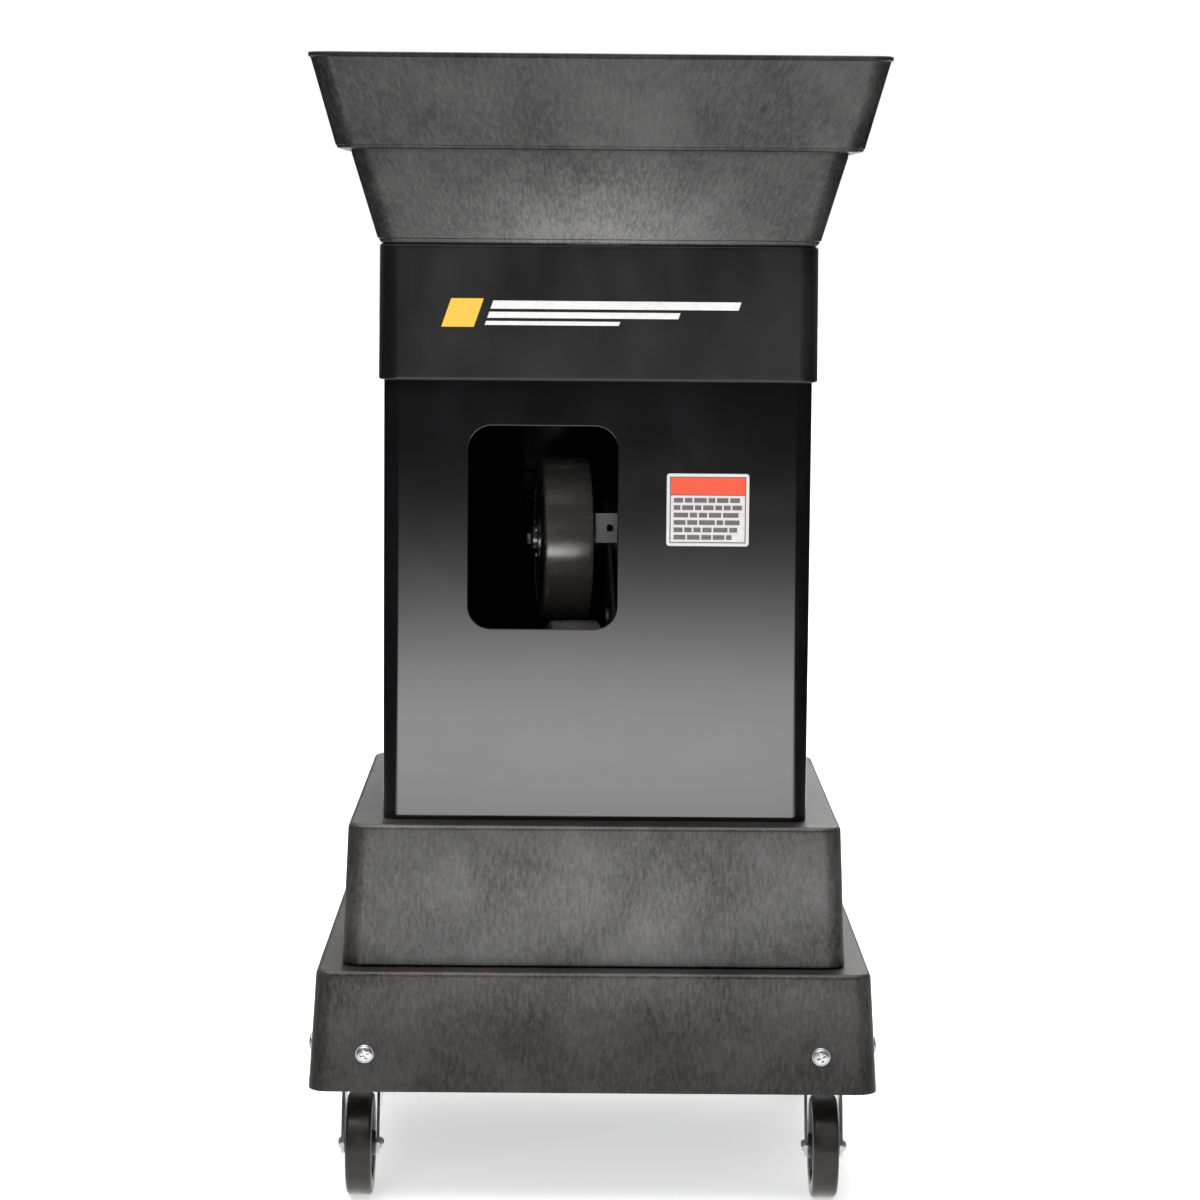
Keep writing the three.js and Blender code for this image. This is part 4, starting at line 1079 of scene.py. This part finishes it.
def feeder(nylon, metal):
    low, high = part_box("feed_carousel")
    radius = high.x
    top, bottom = high.z, low.z + 0.0077
    pockets = [row["box_m"] for row in frame["record"]["physics"]["openings"]
               if row["name"].startswith("ball_pocket")]
    disc = [(0, bottom), (radius, bottom), (radius, top - 0.006), (radius - 0.0018, top - 0.0018)]
    bm = turned(disc + [(radius - 0.006, top), (0, top)], sides=160)
    tools = []
    for (x0, y0, _), (x1, y1, _) in pockets:
        at = Matrix.Translation(((x0 + x1) / 2, (y0 + y1) / 2, 0))
        under, over = low.z - 0.01, top + 0.01
        bore = [(0, under), (POCKET_RADIUS, under), (POCKET_RADIUS, over), (0, over)]
        tools.append(turned(bore, at))
    bm = carved(bm, *tools)
    soften(bm, 0.0016, 3)
    piece(bm, "carousel_disc", nylon, "carousel", ("feed_carousel",), 40)

    low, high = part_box("carousel_cap")
    base, tip = low.z, high.z
    profile = [(0, base), (0.094, base), (0.096, base + 0.0015), (0.0955, base + 0.004)]
    profile += [(0.092, base + 0.0062)]
    for i in range(1, 13):
        part = i / 12
        profile.append((0.092 - 0.064 * part, base + 0.0062 + 0.029 * part ** 1.1))
    profile += [(0.020, tip - 0.0030), (0.012, tip - 0.0008), (0, tip)]
    bm = turned(profile, sides=128)
    piece(bm, "carousel_cone", nylon, "carousel", ("carousel_cap",), 50)
    bm = bmesh.new()
    block(bm, (-0.080, -0.003, base + 0.001), (0.080, 0.003, base + 0.020))
    soften(bm, 0.0015, 3)
    piece(bm, "carousel_vane", nylon, "carousel")
    bm = bmesh.new()
    hex_head(bm, Matrix.Translation((0, 0, tip - 0.0032)), 0.013, 0.0044, 0.010)
    piece(bm, "carousel_nut", metal, "carousel")


# ---- control panel

def fluted(radius, depth, count, steps=6):
    """An outline with round flutes."""
    total = count * steps
    points = []
    for i in range(total):
        angle = 2 * math.pi * i / total
        reach = radius - depth * max(0.0, math.cos(count * angle)) ** 2
        points.append((reach * math.cos(angle), reach * math.sin(angle)))
    return points


def knob(name, plastic, white):
    """A fluted knob on a dished skirt, with a white pointer line."""
    joint = JOINTS[f"{name}_turn"]
    _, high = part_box(name)
    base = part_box("control_panel")[1].y + FIT
    place = upright(facing((0, 1, 0), (joint["pos_m"][0], base, joint["pos_m"][2])))
    tall = high.y - base - 0.001
    bm = bmesh.new()
    lathe(bm, [(0, 0), (0.0135, 0), (0.014, 0.0006), (0.014, 0.0022), (0.0128, 0.0044),
               (0.0112, 0.0052), (0, 0.0052)], place, 72)
    prism(bm, fluted(0.0109, 0.0009, 20), 0.005, tall - 0.0008, place)
    lathe(bm, [(0, tall - 0.0009), (0.0100, tall - 0.0009), (0.0094, tall), (0.0086, tall),
               (0.0080, tall - 0.0005), (0, tall - 0.0004)], place, 72)
    lathe(bm, [(0, -0.006), (0.004, -0.006), (0.004, 0.001), (0, 0.001)], place, 32)
    soften(bm, 0.0002, 1, 50)
    body = joint["child"]
    piece(bm, f"{name}_grip", plastic, body, (name,))
    bm = bmesh.new()
    block(bm, (-0.0006, 0.0015, tall - 0.001), (0.0006, 0.0108, tall + 0.0003), place)
    block(bm, (-0.0006, 0.0100, 0.0020), (0.0006, 0.0132, 0.0050), place)
    piece(bm, f"{name}_pointer", white, body)


def dial_marks(white):
    """Eleven ticks round each knob, longer at the ends and the middle, and switch ticks."""
    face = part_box("control_panel")[1].y
    bm = bmesh.new()
    for name in KNOBS:
        x, _, z = JOINTS[f"{name}_turn"]["pos_m"]
        place = upright(facing((0, 1, 0), (x, face, z)))
        for i in range(TICKS):
            angle = KNOB_TURN - 2 * KNOB_TURN * i / (TICKS - 1)
            turn = Matrix.Rotation(math.radians(angle), 4, "Z")
            far, wide = (0.0195, 0.0005) if i % 5 == 0 else (0.0178, 0.0003)
            low, high = (-wide, 0.0158, -PRINT["sunk"]), (wide, far, PRINT["proud"])
            block(bm, low, high, place @ turn)
    for name in ROCKERS:
        x, _, z = JOINTS[f"{name}_tilt"]["pos_m"]
        place = upright(facing((0, 1, 0), (x, face, z)))
        for side in (-1, 1):
            arrow = [(-0.0022, side * 0.0148), (0.0022, side * 0.0148), (0.0, side * 0.0178)]
            prism(bm, arrow[::side], -PRINT["sunk"], PRINT["proud"], place)
    piece(bm, "panel_dial_marks", white, "machine")


def control_panel(plastic, coated, red, white, zinc, metal):
    refined("control_panel", coated, 0.0007)
    for name in KNOBS:
        knob(name, plastic, white)
    for name in ROCKERS:
        refined(name, red, 0.0005)
    dial_marks(white)

    low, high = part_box("control_panel")
    bm = bmesh.new()
    places = []
    for x in (low.x + 0.007, high.x - 0.007):
        for z in (low.z + 0.007, high.z - 0.007):
            places.append(facing((0, 1, 0), (x, high.y, z)))
    stamped(bm, pan_screw(0.0030), places)
    piece(bm, "panel_screws", zinc, "machine")

    low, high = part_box("charge_socket")
    place = facing((0, 1, 0), ((low.x + high.x) / 2, high.y, (low.z + high.z) / 2))
    flange = (high.x - low.x) / 2
    deep = low.y - high.y
    shell = [(0.0055, 0), (flange - 0.0008, 0), (flange, -0.0008), (flange, -0.0018)]
    shell += [(flange - 0.002, -0.0020), (flange - 0.002, deep), (0, deep), (0, deep + 0.004)]
    bm = turned(shell + [(0.0050, deep + 0.004), (0.0050, -0.0008)], place)
    piece(bm, "charge_socket_shell", plastic, "machine", ("charge_socket",))
    bm = turned([(0, deep + 0.003), (0.0011, deep + 0.003), (0.0011, -0.0030),
                 (0.0006, -0.0022), (0, -0.0022)], place, 24)
    piece(bm, "charge_socket_pin", metal, "machine")


# ---- the whole machine

def build():
    add_camera()
    add_stage()
    add_world()

    ledges = [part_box(f"base_{tier}_shell")[1].z for tier in ("lower", "upper")]
    # The two base tiers are one moulding in lit and shaded copies: the lower tier is painted darker as
    # painted shade, the upper tier lighter and shinier as painted light. Each carries a painted
    # highlight patch in its upper part.
    lower_tier = moulded_finish(
        "base_moulding_painted_shade", (0.009, 0.007, 0.006), (0.022, 0.018, 0.016), 0.37,
        (ledges[0], 0.50, 0.05, 0.55),
    )
    upper_tier = moulded_finish(
        "base_moulding_painted_light", (0.012, 0.011, 0.010), (0.030, 0.027, 0.026), 0.66,
        (ledges[1] - 0.075, 0.25, 0.06, 0.40),
    )
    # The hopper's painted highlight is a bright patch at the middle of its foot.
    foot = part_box("hopper_lower")[0].z
    hopper = moulded_finish(
        "hopper_moulding", (0.008, 0.0075, 0.0075), (0.024, 0.023, 0.022), 0.36,
        (foot, 0.11, 0.06, 1.5), foot - 0.30,
    )
    gloss = gloss_finish(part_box("front_cover")[1].x)
    coated = coated_steel_finish()
    zinc = zinc_finish()
    core = plastic_finish("wheel_core", (0.013, 0.012, 0.012), (0.028, 0.027, 0.026), 0.42)
    caster_tread = rubber_finish("caster_tread", (0.010, 0.0075, 0.0060), (0.025, 0.020, 0.017), 0.36)
    tread = tread_finish(JOINTS["upper_wheel_spin"]["axis"])
    hub_metal = metal_finish("turned_aluminium", (0.40, 0.40, 0.41), 0.28, 0.44)
    dull = metal_finish("dull_zinc", (0.27, 0.27, 0.275), 0.42, 0.58)
    can = plastic_finish("motor_can", (0.014, 0.015, 0.017), (0.028, 0.029, 0.031), 0.36)
    nylon = plastic_finish("nylon", (0.44, 0.425, 0.39), (0.52, 0.505, 0.47), 0.45)
    knob_plastic = plastic_finish("knob_plastic", (0.010, 0.010, 0.011), (0.02, 0.02, 0.021), 0.4)
    rocker_red = plastic_finish("rocker_plastic", (0.25, 0.015, 0.010), (0.32, 0.022, 0.015), 0.3)
    battery = plastic_finish("battery_case", (0.022, 0.024, 0.029), (0.04, 0.043, 0.05), 0.5)
    white = print_finish("white_film", (0.74, 0.72, 0.71), (0.62, 0.60, 0.59))
    paper = print_finish("label_paper", (0.63, 0.61, 0.61), (0.53, 0.51, 0.51))
    red = print_finish("red_ink", (0.72, 0.060, 0.018), (0.62, 0.075, 0.030))
    ink = print_finish("grey_ink", (0.085, 0.08, 0.08), (0.14, 0.13, 0.13))
    yellow = print_finish("yellow_ink", (0.80, 0.47, 0.045), (0.72, 0.42, 0.06))

    hood("base_lower_shell", "base_lower_tier", LOWER_LEDGE, 0.005, lower_tier,
         1.0)
    hood("base_upper_shell", "base_upper_tier", UPPER_LEDGE, 0.005, upper_tier,
         5.0)
    carousel_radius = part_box("feed_carousel")[1].x
    bin_tier("hopper_lower", "hopper_lower_tier", carousel_radius, carousel_radius, 0.0045, 0.0,
             hopper, 9.0)
    bin_tier("hopper_upper", "hopper_upper_tier", STEP_OPENING, 0.014, 0.0028, 0.0009, hopper, 14.0)
    collar(collar_finish())
    collar_stripes(white, yellow)
    column_covers(gloss)
    caution_plate(paper, red, ink)
    base_screws(zinc)
    for corner in CORNERS:
        caster(corner, zinc, caster_tread, core)
    for side in ("upper", "lower"):
        throwing_wheel(side, tread, core, hub_metal)
        wheel_motor(side, can, zinc)
    feeder(nylon, zinc)
    control_panel(knob_plastic, coated, rocker_red, white, zinc, hub_metal)

    for node in ("base_pan", "battery_strap", "tilt_cheek", "head_plate"):
        refined(node, coated)
    for node in ("drop_tube", "ball_elbow"):
        refined(node, coated, rounds=2)
    for node in ("left_upright", "right_upright", "mid_deck", "sweep_table", "tilt_pin",
                 "feed_deck"):
        refined(node, zinc, 0.0005)
    refined("motor_bracket", dull, 0.0005)
    refined("control_box", hub_metal)
    for node in ("sweep_motor", "feed_motor", "tilt_motor"):
        refined(node, can)
    for node in ("sweep_pinion", "tilt_pinion"):
        refined(node, nylon, 0.0003)
    refined("battery", battery, 0.0015)


bpy.context.scene.view_settings.view_transform = "Standard"
build()
